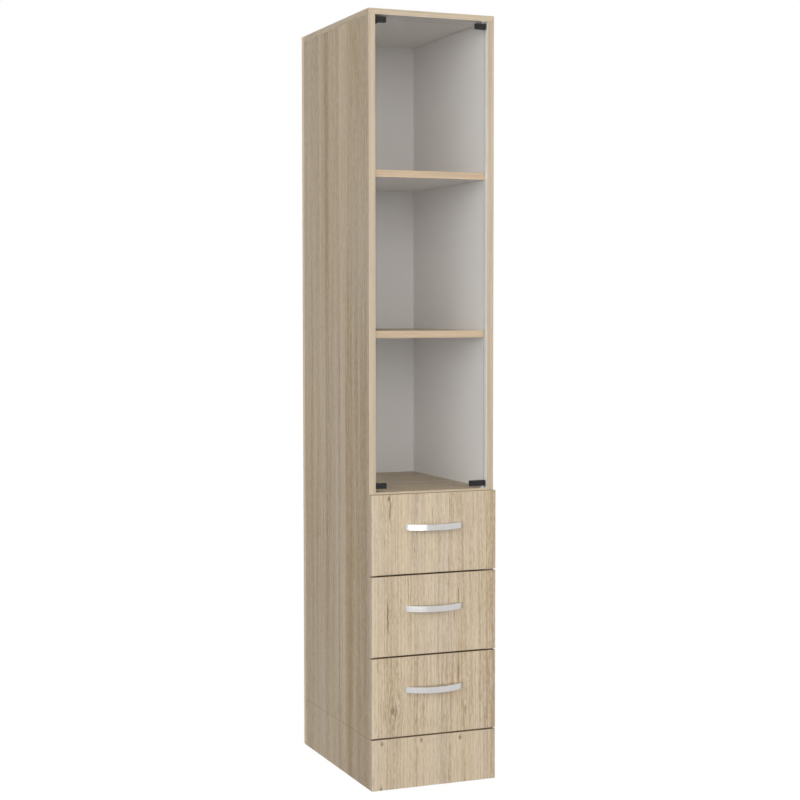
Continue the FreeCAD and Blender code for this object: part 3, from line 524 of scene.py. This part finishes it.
def nylon_finish():
    """Grey nylon of the rollers and bushes."""
    made = bpy.data.materials.get("grey_nylon_moulding")
    nylon = bpy.context.scene.cabinet_finishes.nylon
    return made or moulded_finish("grey_nylon_moulding", nylon, shade(176, 178, 176), smooth=0.42, rough=0.58)


def glass_finish():
    """Clear float glass: see-through with faint reflections on its faces, green where its edges show."""
    material, finish, shader = start_material("clear_door_glass")
    colours = bpy.context.scene.cabinet_finishes
    place, normal = finish.surface()
    smear = finish.noise(place, *CLOUDS["glass"])
    gloss = finish.node("ShaderNodeBsdfGlossy", {"Roughness": finish.ramp(smear, *GLASS_SMEARS)})
    clear = finish.node("ShaderNodeBsdfTransparent", {"Color": GLASS_TINT})
    fresnel = finish.node("ShaderNodeFresnel", {"IOR": GLASS_INDEX})
    shine = finish.math("MULTIPLY", fresnel.outputs[0], GLASS_SHINE)
    pane = finish.node("ShaderNodeMixShader", {0: shine, 1: clear.outputs[0], 2: gloss.outputs[0]})
    tint = finish.mix(finish.ramp(smear, *NOISE_REACH), colours.glass_edge, shade(150, 190, 172))
    set_sockets(finish, shader, Base_Color=tint, Roughness=0.12)
    edge = finish.ramp(finish.math("ABSOLUTE", finish.dot(normal, FRONT)), *GLASS_EDGES)
    whole = finish.node("ShaderNodeMixShader", {0: edge, 1: pane.outputs[0], 2: shader.outputs[0]})
    finish.feed(finish.tree.nodes["Material Output"].inputs["Surface"], whole.outputs[0])
    return material


def dress(material, *names):
    """Gives CAD nodes a finish."""
    for name in names:
        for slot in NODES[name].material_slots:
            slot.material = material


def deselect():
    """Nothing selected, in object mode."""
    if bpy.context.object and bpy.context.object.mode != "OBJECT":
        bpy.ops.object.mode_set(mode="OBJECT")
    bpy.ops.object.select_all(action="DESELECT")


def only(piece):
    """Makes a piece the one that operators act on."""
    deselect()
    piece.select_set(True)
    bpy.context.view_layer.objects.active = piece


def settle(name):
    """Names the new primitive and puts its place and size into its mesh."""
    piece = bpy.context.object
    piece.name = piece.data.name = name
    bpy.ops.object.transform_apply(location=True, rotation=True, scale=True)
    return piece


def add_round(name, start, direction, radius, depth, sides=48):
    """A round bar from a point in a direction."""
    deselect()
    turn = direction.to_track_quat("Z", "Y").to_euler()
    middle = Vector(start) + direction * depth / 2
    bpy.ops.mesh.primitive_cylinder_add(vertices=sides, radius=radius, depth=depth, location=middle,
                                        rotation=turn)
    return settle(name)


def edit(piece):
    """Edit mode with nothing selected."""
    only(piece)
    bpy.ops.object.mode_set(mode="EDIT")
    bpy.ops.mesh.select_all(action="DESELECT")


def pick_faces(piece, test):
    """Selects the faces that pass a test of their middle and normal."""
    bpy.ops.mesh.select_mode(type="FACE")
    mesh = bmesh.from_edit_mesh(piece.data)
    for face in mesh.faces:
        face.select_set(test(face.calc_center_median(), face.normal))
    bmesh.update_edit_mesh(piece.data)


def cut_off(piece, point, direction):
    """Cuts a piece at a plane, takes off what lies beyond it and closes the cut."""
    edit(piece)
    bpy.ops.mesh.select_all(action="SELECT")
    bpy.ops.mesh.bisect(plane_co=point, plane_no=direction, use_fill=True, clear_outer=True)
    bpy.ops.object.mode_set(mode="OBJECT")


def apply_modifier(piece, name, kind, **settings):
    """Adds a modifier and applies it."""
    only(piece)
    modifier = piece.modifiers.new(name, kind)
    for key, value in settings.items():
        setattr(modifier, key, value)
    bpy.ops.object.modifier_apply(modifier=name)


def hollow(piece, tool):
    """Takes a tool's shape out of a piece."""
    apply_modifier(piece, "hollow", "BOOLEAN", operation="DIFFERENCE", object=tool, solver="EXACT")
    bpy.data.meshes.remove(tool.data)


def round_over(piece, width, segments=2, sharper_than=35):
    """Rounds the sharp edges and shades the piece smooth between what stays sharp."""
    apply_modifier(piece, "rounding", "BEVEL", width=width, segments=segments, limit_method="ANGLE",
                   angle_limit=math.radians(sharper_than), miter_outer="MITER_ARC")
    bpy.ops.object.shade_smooth_by_angle(angle=SMOOTH_BELOW)
    apply_modifier(piece, "flat_faces", "WEIGHTED_NORMAL", keep_sharp=True, weight=100)


def inset_faces(piece, test, *steps):
    """Insets the faces that pass a test, one step after another: each step is (how far in, how far out)."""
    edit(piece)
    pick_faces(piece, test)
    for inward, outward in steps:
        bpy.ops.mesh.inset(thickness=inward, depth=outward, use_boundary=True)
    bpy.ops.object.mode_set(mode="OBJECT")


def cross_recess(piece, height, radius, depth):
    """Sinks a cross for a screwdriver into the face that looks down at a height, about the Z axis."""
    edit(piece)
    pick_faces(piece, lambda middle, normal: normal.z < -LOOKS and abs(middle.z - height) < MERGE)
    outer = max((corner.co.xy.length for face in bmesh.from_edit_mesh(piece.data).faces if face.select
                 for corner in face.verts), default=0.0)
    bpy.ops.mesh.inset(thickness=outer - radius, depth=0.0)
    mesh = bmesh.from_edit_mesh(piece.data)
    for face in [face for face in mesh.faces if face.select]:
        for corner in face.verts:
            # Corners near the two axes stay out as the arms of the cross, and the others draw in.
            turn = math.degrees(math.atan2(corner.co.y, corner.co.x)) % 90
            if CROSS_ARM < turn < 90 - CROSS_ARM:
                corner.co.xy *= CROSS_WAIST
    bmesh.update_edit_mesh(piece.data)
    bpy.ops.mesh.extrude_region_move(TRANSFORM_OT_translate={"value": (0, 0, depth)})
    bpy.ops.transform.resize(value=(CROSS_TAPER, CROSS_TAPER, 1.0), center_override=(0, 0, 0))
    bpy.ops.object.mode_set(mode="OBJECT")


def copy_node(name, node):
    """Starts a piece from a copy of a CAD node, with its loose triangles merged into whole flat faces."""
    piece = bpy.data.objects.new(name, NODES[node].data.copy())
    bpy.context.scene.collection.objects.link(piece)
    edit(piece)
    bpy.ops.mesh.select_all(action="SELECT")
    bpy.ops.mesh.customdata_custom_splitnormals_clear()
    bpy.ops.mesh.remove_doubles(threshold=MERGE)
    bpy.ops.mesh.dissolve_limited(angle_limit=math.radians(1))
    bpy.ops.object.mode_set(mode="OBJECT")
    return piece


def solids_in(node):
    """The separate solids of a CAD node, each as the list of its corners."""
    mesh = bmesh.new()
    mesh.from_mesh(NODES[node].data)
    bmesh.ops.remove_doubles(mesh, verts=mesh.verts, dist=MERGE)
    seen, solids = set(), []
    for start in mesh.verts:
        if start in seen:
            continue
        seen.add(start)
        solid, waiting = [], [start]
        while waiting:
            corner = waiting.pop()
            solid.append(corner.co.copy())
            for edge in corner.link_edges:
                other = edge.other_vert(corner)
                if other not in seen:
                    seen.add(other)
                    waiting.append(other)
        solids.append(solid)
    mesh.free()
    return solids


def box_of(corners):
    """Lowest and highest corner round some points."""
    return (Vector(min(corner[axis] for corner in corners) for axis in range(3)),
            Vector(max(corner[axis] for corner in corners) for axis in range(3)))


def copy_to(pattern, places):
    """Copies of a pattern at some places, each with a mesh of its own."""
    made = []
    for place in places:
        copy = bpy.data.objects.new(pattern.name, pattern.data.copy())
        copy.data.transform(place)
        bpy.context.scene.collection.objects.link(copy)
        made.append(copy)
    bpy.data.meshes.remove(pattern.data)
    return made


def join(name, made):
    """Joins pieces into one."""
    deselect()
    for piece in made:
        piece.select_set(True)
    bpy.context.view_layer.objects.active = made[0]
    if len(made) > 1:
        bpy.ops.object.join()
    made[0].name = made[0].data.name = name
    return made[0]


def place_piece(piece, body, slot, material, *replaced):
    """Gives a new piece its finish, the body it moves with and the CAD nodes it stands for."""
    piece.data.materials.clear()
    piece.data.materials.append(material)
    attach(piece, body)
    if replaced:
        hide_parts(*replaced)


class CABINET_OT_boards(Operator):
    """Gives the carcass boards their oak, white and bare faces"""

    bl_idname = "cabinet.boards"
    bl_label = "Carcass boards"

    def execute(self, context):
        colours = context.scene.cabinet_finishes
        side_cracks = ((-53, 460, 110, 1.0, 1.0), (-53, 330, 520, 1.6, 0.35), (148, 1556, 60, 2.2, 0.8),
                       (20, 1180, 320, 1.0, 0.6), (-46, 1100, 420, 1.6, 0.4), (-120, 900, 130, 0.8, 0.8),
                       (148, 830, 130, 1.8, 0.45), (150, 720, 60, 1.6, 0.7))
        side_knots = ((142, 254, 5, 8),)
        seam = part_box("left_side_panel")[0].z / MM
        front = {"band": colours.front_band, "banded": (FRONT,)}
        # The side and base side boards' oak is shifted darker: painted shade for the left side, which stands
        # in shade.
        upright = {"strength": 1.12, "shift": -0.1, "joint": seam}
        dress(board_finish("oak_left_side", "Z", white=RIGHT, bare=(UP, DOWN), knots=side_knots,
                           cracks=side_cracks, **upright, **front), "left_side_panel")
        dress(board_finish("oak_right_side", "Z", white=LEFT, bare=(UP, DOWN), **upright, **front),
              "right_side_panel")
        dress(board_finish("oak_top", "X", white=DOWN, **front), "top_panel")
        hidden = (LEFT, RIGHT, REAR)
        dress(board_finish("oak_shelves", "X", white=DOWN, bare=hidden, band=colours.shelf_band,
                           banded=(FRONT,)), "middle_shelf", "upper_shelf")
        dress(board_finish("oak_display_floor", "X", white=DOWN, bare=hidden, **front), "display_floor")
        dress(board_finish("oak_back", "Z", white=FRONT, bare=(DOWN,), band=colours.back_band,
                           banded=(LEFT, RIGHT, UP)), "back_panel")
        dress(board_finish("oak_base_left", "Z", white=RIGHT, bare=(DOWN, UP),
                           knots=((156, 95, 3, 5), (-75, 89, 3, 4)), **upright), "base_left_board")
        dress(board_finish("oak_base_right", "Z", white=LEFT, bare=(DOWN, UP), **upright), "base_right_board")
        # The plinth's top face carries the band of painted shade for the gap under the bottom drawer.
        dress(board_finish("oak_base_front", "Z", white=REAR, bare=(DOWN,), band=colours.gap_shade_band,
                           banded=(UP,), strength=0.9,
                           knots=((-117, 97, 4, 6), (-29, 97, 4, 6), (59, 95, 4, 6), (-119, 3, 3, 5))),
              "base_front_board")
        dress(white_board_finish(), "drawer_bay_bottom")
        dress(beech_finish(), "base_corner_blocks", "panel_dowels")
        return {"FINISHED"}


class CABINET_OT_drawers(Operator):
    """Gives the drawer fronts their oak and the drawer boxes their white board"""

    bl_idname = "cabinet.drawers"
    bl_label = "Drawers"

    def execute(self, context):
        knots = {"bottom": ((-93, 163, 7, 11),), "middle": (), "top": ((-101, 605, 4, 6),)}
        cracks = {
            "bottom": ((71, 152, 30, 0.9, 1.0), (-93, 176, 50, 1.2, 0.8), (-87, 156, 36, 1.0, 0.7),
                       (55, 232, 50, 1.8, 0.8)),
            "middle": ((-104, 358, 78, 1.6, 1.0), (-59, 420, 60, 0.8, 0.8), (46, 362, 60, 0.8, 0.8),
                       (54, 396, 40, 1.6, 0.8)),
            "top": ((-99, 588, 70, 1.8, 0.9), (-3, 560, 60, 0.9, 0.7), (43, 566, 50, 0.8, 0.7)),
        }
        # The fronts' oak is shifted darker towards the bottom drawer.
        shifts = {"bottom": -0.1, "middle": 0.02, "top": 0.08}
        strengths = {"bottom": 1.28, "middle": 1.06, "top": 1.1}
        gap_shade_band = context.scene.cabinet_finishes.gap_shade_band
        boxes = bpy.data.materials["white_faced_board"]
        for drawer in DRAWERS:
            # Each front's top face carries the band of painted shade for the gap above it.
            dress(board_finish(f"oak_{drawer}_drawer", "Z", white=REAR, knots=knots[drawer],
                               cracks=cracks[drawer], strength=strengths[drawer], shift=shifts[drawer],
                               band=gap_shade_band, banded=(UP,)), f"{drawer}_drawer_front")
            dress(boxes, f"{drawer}_drawer_sides", f"{drawer}_drawer_ends", f"{drawer}_drawer_bottom")
        return {"FINISHED"}


class CABINET_OT_handles(Operator):
    """Models the three bow handles"""

    bl_idname = "cabinet.handles"
    bl_label = "Bow handles"

    def execute(self, context):
        silver = metal_finish("satin_silver_bow", context.scene.cabinet_finishes.silver, smooth=0.12,
                              rough=0.2, mottle=0.05)
        for drawer in DRAWERS:
            node = f"{drawer}_drawer_handle"
            handle = self.model(f"{drawer}_bow_handle", *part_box(node), context.scene.cabinet_details)
            place_piece(handle, f"{drawer}_drawer", "satin_silver", silver, node)
        return {"FINISHED"}

    @staticmethod
    def model(name, low, high, sizes):
        """A disc cut back to a flat bow with thin tips, hollowed out behind for the fingers."""
        half, reach, height = (high.x - low.x) / 2, high.y - low.y, high.z - low.z
        middle = (low.x + high.x) / 2

        def arc(title, half_length, thickness, rise, spare):
            """An upright disc whose front stands a thickness behind the handle's front."""
            radius = (half_length ** 2 + rise ** 2) / (2 * rise)
            start = (middle, low.y + thickness + radius, low.z - spare)
            return add_round(title, start, UP, radius, height + 2 * spare, sides=360)

        bow = arc(name, half, 0, reach - sizes.handle_tip, 0)
        for point, direction in (((0, high.y, 0), REAR), ((high.x, 0, 0), RIGHT), ((low.x, 0, 0), LEFT)):
            cut_off(bow, point, direction)
        hollow(bow, arc("grip", half - sizes.handle_foot, sizes.handle_band, reach - sizes.handle_band, MM))
        round_over(bow, sizes.handle_round, segments=3)
        return bow


class CABINET_OT_glass_door(Operator):
    """Gives the door its glass, its black clips and its pivots"""

    bl_idname = "cabinet.glass_door"
    bl_label = "Glass door"

    def execute(self, context):
        colours = context.scene.cabinet_finishes
        dress(glass_finish(), "glass_door")
        black = moulded_finish("black_clips", colours.clip_black, shade(31, 31, 32), smooth=0.38, rough=0.5,
                               gloss=0.3)
        dress(black, *(f"{end}_{kind}_clip" for end in ("top", "bottom") for kind in ("hinge", "strike")))
        dress(zinc_finish(), "top_hinge_pin", "bottom_hinge_pin")
        dress(nylon_finish(), "hinge_bushes")
        return {"FINISHED"}


class CABINET_OT_grub_screws(Operator):
    """Models the grub screws that hold the clips, with a socket for a hexagon key"""

    bl_idname = "cabinet.grub_screws"
    bl_label = "Grub screws"

    def execute(self, context):
        made = []
        for corners in solids_in("clip_screws"):
            low, high = box_of(corners)
            middle = (low + high) / 2
            radius, depth = (high.z - low.z) / 2, high.y - low.y
            screw = add_round("grub_screw", (middle.x, low.y, middle.z), REAR, radius, depth, sides=24)
            sunk, key, rounding = depth * 0.6, radius * 0.55, radius * 0.12
            hollow(screw, add_round("socket", (middle.x, high.y - sunk, middle.z), REAR, key, depth, sides=6))
            round_over(screw, rounding)
            made.append(screw)
        place_piece(join("clip_grub_screws", made), "door", "zinc", zinc_finish(), "clip_screws")
        return {"FINISHED"}


class CABINET_OT_screws(Operator):
    """Models the screws of the carcass, the runners and the drawers, with cross recesses"""

    bl_idname = "cabinet.screws"
    bl_label = "Screws"
    turn_step = 37

    def execute(self, context):
        groups = {"panel_screws": "carcass", "runner_screws": "carcass"}
        groups.update({f"{drawer}_drawer_fasteners": f"{drawer}_drawer" for drawer in DRAWERS})
        for node, body in groups.items():
            place_piece(self.model(f"{node}_cross_head", node), body, "zinc", zinc_finish(), node)
        return {"FINISHED"}

    def model(self, name, node):
        """One pattern for each size of screw in the node, copied to its places."""
        kinds = {}
        for count, corners in enumerate(solids_in(node)):
            kind, place = self.measure(corners)
            # Each screw stops at an angle of its own.
            stop = math.radians(self.turn_step * count)
            kinds.setdefault(kind, []).append(place @ Matrix.Rotation(stop, 4, "Z"))
        made = []
        for kind, places in kinds.items():
            made += copy_to(self.pattern(*kind), places)
        return join(name, made)

    @staticmethod
    def measure(corners):
        """A screw's size in steps of 0.01 mm and whether its head is a flat-bottomed pan, and its place."""
        low, high = box_of(corners)
        axis = max(range(3), key=lambda side: (high - low)[side])
        middle = (low + high) / 2

        def reach(corner):
            offset = corner - middle
            offset[axis] = 0.0
            return offset.length

        ends = [max(reach(corner) for corner in corners if abs(corner[axis] - end[axis]) < 1e-5)
                for end in (low, high)]
        way = Vector()
        way[axis] = 1.0 if ends[0] > ends[1] else -1.0
        start = Vector(middle)
        start[axis] = low[axis] if ends[0] > ends[1] else high[axis]
        head, shank = max(ends), min(ends)
        below_rim = [corner for corner in corners if abs((corner - start)[axis]) > 0.8 * MM]
        pan = any(reach(corner) > head * 0.95 for corner in below_rim)
        size = tuple(round(value / MM, 2) for value in (head, shank, high[axis] - low[axis]))
        place = Matrix.Translation(start) @ way.to_track_quat("Z", "X").to_matrix().to_4x4()
        return (*size, pan), place

    @staticmethod
    def pattern(head, shank, depth, pan):
        """A screw that points up from the origin: head, shank and tapered tip. Sizes in millimetres."""
        rim = 2.5 if pan else 0.25
        tip = min(4.0, depth / 4)
        screw = add_round("screw", (0, 0, 0), UP, head * MM, rim * MM, sides=24)
        neck = 0.0 if pan else head - shank
        edit(screw)
        pick_faces(screw, lambda middle, normal: normal.z > LOOKS)
        for rise, share in ((neck, shank / head), (depth - rim - neck - tip, 1.0), (tip, 0.2)):
            bpy.ops.mesh.extrude_region_move(TRANSFORM_OT_translate={"value": (0, 0, rise * MM)})
            bpy.ops.transform.resize(value=(share, share, 1.0), center_override=(0, 0, 0))
        bpy.ops.object.mode_set(mode="OBJECT")
        cross, sunk = head * 0.58, min(1.6, head * 0.4)
        cross_recess(screw, 0.0, cross * MM, sunk * MM)
        bpy.ops.object.shade_smooth_by_angle(angle=SCREW_SMOOTH_BELOW)
        return screw


class CABINET_OT_cams(Operator):
    """Models the cam discs under the boards and finishes the bolts that they draw in"""

    bl_idname = "cabinet.cams"
    bl_label = "Cams"

    def execute(self, context):
        first_turn, turn_step = 20, 23
        rim, wall, sink, cross, deep = 0.7 * MM, 0.2 * MM, 0.6 * MM, 3.4 * MM, 2.5 * MM
        places = []
        for count, corners in enumerate(solids_in("cam_discs")):
            low, high = box_of(corners)
            radius, depth = (high.x - low.x) / 2, high.z - low.z
            place = Matrix.Translation(((low.x + high.x) / 2, (low.y + high.y) / 2, low.z))
            turn = math.radians(first_turn + turn_step * count)
            places.append(place @ Matrix.Rotation(turn, 4, "Z"))
        disc = add_round("cam_disc", (0, 0, 0), UP, radius, depth, sides=24)
        inset_faces(disc, lambda middle, normal: normal.z < -LOOKS, (rim, 0.0), (wall, -sink))
        cross_recess(disc, sink, cross, deep)
        bpy.ops.object.shade_smooth_by_angle(angle=SCREW_SMOOTH_BELOW)
        cams = join("slotted_cam_discs", copy_to(disc, places))
        place_piece(cams, "carcass", "zinc", zinc_finish(), "cam_discs")
        dress(zinc_finish(), "cam_bolts")
        return {"FINISHED"}


class CABINET_OT_runners(Operator):
    """Models the runners as bent sheet with soft edges"""

    bl_idname = "cabinet.runners"
    bl_label = "Runners"

    def execute(self, context):
        coat = moulded_finish("runner_coat", context.scene.cabinet_finishes.coat, shade(216, 213, 203),
                              smooth=0.3, rough=0.45, grain=700, depth=0.08 * MM)
        bend = context.scene.cabinet_details.sheet_edge
        groups = {"cabinet_runners": "carcass"}
        groups.update({f"{drawer}_drawer_runners": f"{drawer}_drawer" for drawer in DRAWERS})
        for node, body in groups.items():
            runner = copy_node(f"{node}_bent_sheet", node)
            round_over(runner, bend, sharper_than=SHEET_CORNER)
            place_piece(runner, body, "coated_steel", coat, node)
        return {"FINISHED"}


class CABINET_OT_rollers(Operator):
    """Models the rollers with a rim, a sunk web and a hub"""

    bl_idname = "cabinet.rollers"
    bl_label = "Rollers"

    def execute(self, context):
        for drawer in DRAWERS:
            for end in ("front", "rear"):
                node = f"{drawer}_{end}_rollers"
                boxes = [box_of(corners) for corners in solids_in(node)]
                wheels = copy_to(self.pattern(*boxes[0], context.scene.cabinet_details),
                                 [Matrix.Translation((low + high) / 2) for low, high in boxes])
                place_piece(join(f"{drawer}_{end}_hub_rollers", wheels), f"{drawer}_{end}_roller_pair",
                            "grey_nylon", nylon_finish(), node)
        return {"FINISHED"}

    @staticmethod
    def pattern(low, high, sizes):
        """A wheel about the X axis, in the middle of the frame."""
        width, radius = high.x - low.x, (high.z - low.z) / 2
        wheel = add_round("wheel", (-width / 2, 0, 0), RIGHT, radius, width)
        rim, wall, web, hub, rounding = 1.5 * MM, 0.15 * MM, 0.9 * MM, 1.3 * MM, 0.35 * MM
        inset_faces(wheel, lambda middle, normal: abs(normal.x) > LOOKS,
                    (rim, 0.0), (wall, -web), (hub, 0.0), (wall, web))
        axle = add_round("axle", (-width, 0, 0), RIGHT, sizes.roller_bore, 2 * width, sides=32)
        hollow(wheel, axle)
        round_over(wheel, rounding, sharper_than=ROLLER_CORNER)
        return wheel


class CABINET_OT_latches(Operator):
    """Models the touch latches' cases with moulded edges and finishes their plungers"""

    bl_idname = "cabinet.latches"
    bl_label = "Touch latches"

    def execute(self, context):
        black = moulded_finish("black_latch", context.scene.cabinet_finishes.black_plastic, shade(48, 48, 49),
                               smooth=0.4, rough=0.55, gloss=0.35)
        cases = copy_node("moulded_latch_cases", "latch_cases")
        round_over(cases, context.scene.cabinet_details.latch_edge, sharper_than=SHEET_CORNER)
        place_piece(cases, "carcass", "black_plastic", black, "latch_cases")
        dress(black, "top_latch_plunger", "bottom_latch_plunger")
        return {"FINISHED"}


class CABINET_OT_bracket(Operator):
    """Models the wall bracket as bent sheet with soft edges"""

    bl_idname = "cabinet.bracket"
    bl_label = "Wall bracket"

    def execute(self, context):
        bracket = copy_node("bent_wall_bracket", "anti_tip_bracket")
        round_over(bracket, context.scene.cabinet_details.sheet_edge, sharper_than=SHEET_CORNER)
        place_piece(bracket, "carcass", "zinc", zinc_finish(), "anti_tip_bracket")
        return {"FINISHED"}


class CABINET_OT_stage(Operator):
    """Sets up the floor, the light and the photograph's camera"""

    bl_idname = "cabinet.stage"
    bl_label = "Stage"

    def execute(self, context):
        stage = context.scene.cabinet_stage
        self.light(context.scene, stage)
        self.floor()
        self.camera(context.scene, stage)
        context.scene.view_settings.view_transform = "Standard"
        return {"FINISHED"}

    @staticmethod
    def seen_rays(finish):
        """1 for rays that show the background: from the camera, from gloss and through glass."""
        rays = finish.node("ShaderNodeLightPath").outputs
        seen = finish.math("MAXIMUM", rays["Is Camera Ray"], rays["Is Glossy Ray"])
        return finish.math("MAXIMUM", seen, rays["Is Transmission Ray"])

    def light(self, scene, stage):
        """White all round as a background. The light is a soft dome in front, weaker from above, with three
        soft windows, and a low strip lamp that gives the handles their highlight."""
        world = bpy.data.worlds.new("white_studio")
        world.use_nodes = True
        scene.world = world
        finish = Finish(world.node_tree)
        sky = world.node_tree.nodes["Background"]
        sky.inputs["Color"].default_value = WHITE
        way = finish.node("ShaderNodeTexCoord").outputs["Generated"]
        dome = finish.ramp(finish.dot(way, FRONT), *DOME_FRONT, stage.shade_light, stage.front_light)
        dome = finish.math("MULTIPLY", dome, finish.ramp(finish.dot(way, UP), *DOME_TOP))
        # Each window's turn from the front, rise, rim and heart as cosines from its middle, and strength.
        windows = (
            (stage.window_turn, 0.05, 0.8, 0.95, stage.window_light),
            (-stage.window_turn, 0.05, 0.8, 0.95, stage.fill_light),
            (math.pi, 0.45, 0.9, 0.98, stage.rear_light),
        )
        for turn, rise, rim, heart, strength in windows:
            window = Vector((-math.sin(turn), -math.cos(turn), rise)).normalized()
            dome = finish.math("ADD", dome, finish.ramp(finish.dot(way, window), rim, heart, 0.0, strength))
        finish.feed(sky.inputs["Strength"], finish.ramp(self.seen_rays(finish), 0.0, 1.0, dome, 1.0))

        data = bpy.data.lights.new("strip_lamp", "AREA")
        data.shape, data.energy = "RECTANGLE", stage.strip
        data.size, data.size_y = LAMP_SIZE
        lamp = bpy.data.objects.new("strip_lamp", data)
        lamp.location = LAMP_PLACE
        lamp.rotation_euler = (LAMP_AIM - lamp.location).to_track_quat("-Z", "Y").to_euler()
        lamp.visible_camera = False
        scene.collection.objects.link(lamp)

    def floor(self):
        """A wide pale floor that shows as white apart from the cabinet's shadow."""
        deselect()
        bpy.ops.mesh.primitive_plane_add(size=FLOOR_SIZE)
        floor = settle("floor")
        edit(floor)
        bpy.ops.mesh.select_all(action="SELECT")
        bpy.ops.mesh.subdivide(number_cuts=3)
        bpy.ops.object.mode_set(mode="OBJECT")
        material, finish, shader = start_material("pale_floor")
        cloud = finish.noise(finish.surface()[0], *CLOUDS["floor"])
        set_sockets(finish, shader, Roughness=0.9, Base_Color=finish.mix(cloud, *FLOOR_TONES))
        glow = finish.node("ShaderNodeEmission", {"Color": WHITE, "Strength": FLOOR_GLOW})
        share = finish.math("MULTIPLY", self.seen_rays(finish), GLOW_SHARE)
        mixed = finish.node("ShaderNodeMixShader", {0: share, 1: shader.outputs[0], 2: glow.outputs[0]})
        finish.feed(finish.tree.nodes["Material Output"].inputs["Surface"], mixed.outputs[0])
        floor.data.materials.append(material)

    @staticmethod
    def camera(scene, stage):
        """The photograph's camera."""
        data = bpy.data.cameras.new("camera")
        data.lens = stage.lens
        camera = bpy.data.objects.new("camera", data)
        camera.location = stage.camera_place
        turn = Matrix.Rotation(-stage.camera_turn, 3, "Z")
        dip = Matrix.Rotation(math.pi / 2 - stage.camera_dip, 3, "X")
        roll = Matrix.Rotation(stage.camera_roll, 3, "Z")
        camera.rotation_euler = (turn @ dip @ roll).to_euler()
        scene.collection.objects.link(camera)
        scene.camera = camera


OPERATORS = (
    CABINET_OT_boards, CABINET_OT_drawers, CABINET_OT_handles, CABINET_OT_glass_door, CABINET_OT_grub_screws,
    CABINET_OT_screws, CABINET_OT_cams, CABINET_OT_runners, CABINET_OT_rollers, CABINET_OT_latches,
    CABINET_OT_bracket, CABINET_OT_stage,
)
SETTINGS = {
    "cabinet_finishes": CabinetFinishes, "cabinet_details": CabinetDetails, "cabinet_stage": CabinetStage,
}


class CABINET_PT_sidebar(Panel):
    """Lists the steps that dress the cabinet, and what a user can change"""

    bl_idname = "CABINET_PT_sidebar"
    bl_label = "Linen cabinet"
    bl_space_type = "VIEW_3D"
    bl_region_type = "UI"
    bl_category = "Cabinet"

    def draw(self, context):
        for operator in OPERATORS:
            self.layout.operator(operator.bl_idname)
        for name, group in SETTINGS.items():
            box = self.layout.box()
            for key in group.__annotations__:
                box.prop(getattr(context.scene, name), key)


def register():
    """Registers the settings, the operators and the panel."""
    for name, group in SETTINGS.items():
        bpy.utils.register_class(group)
        setattr(bpy.types.Scene, name, PointerProperty(type=group))
    for item in (*OPERATORS, CABINET_PT_sidebar):
        bpy.utils.register_class(item)


def unregister():
    """Takes the add-on out again."""
    for item in (CABINET_PT_sidebar, *reversed(OPERATORS)):
        bpy.utils.unregister_class(item)
    for name, group in SETTINGS.items():
        delattr(bpy.types.Scene, name)
        bpy.utils.unregister_class(group)


def main():
    register()
    for operator in OPERATORS:
        group, step = operator.bl_idname.split(".")
        getattr(getattr(bpy.ops, group), step)()
    bpy.context.view_layer.update()


if __name__ == "__main__":
    main()
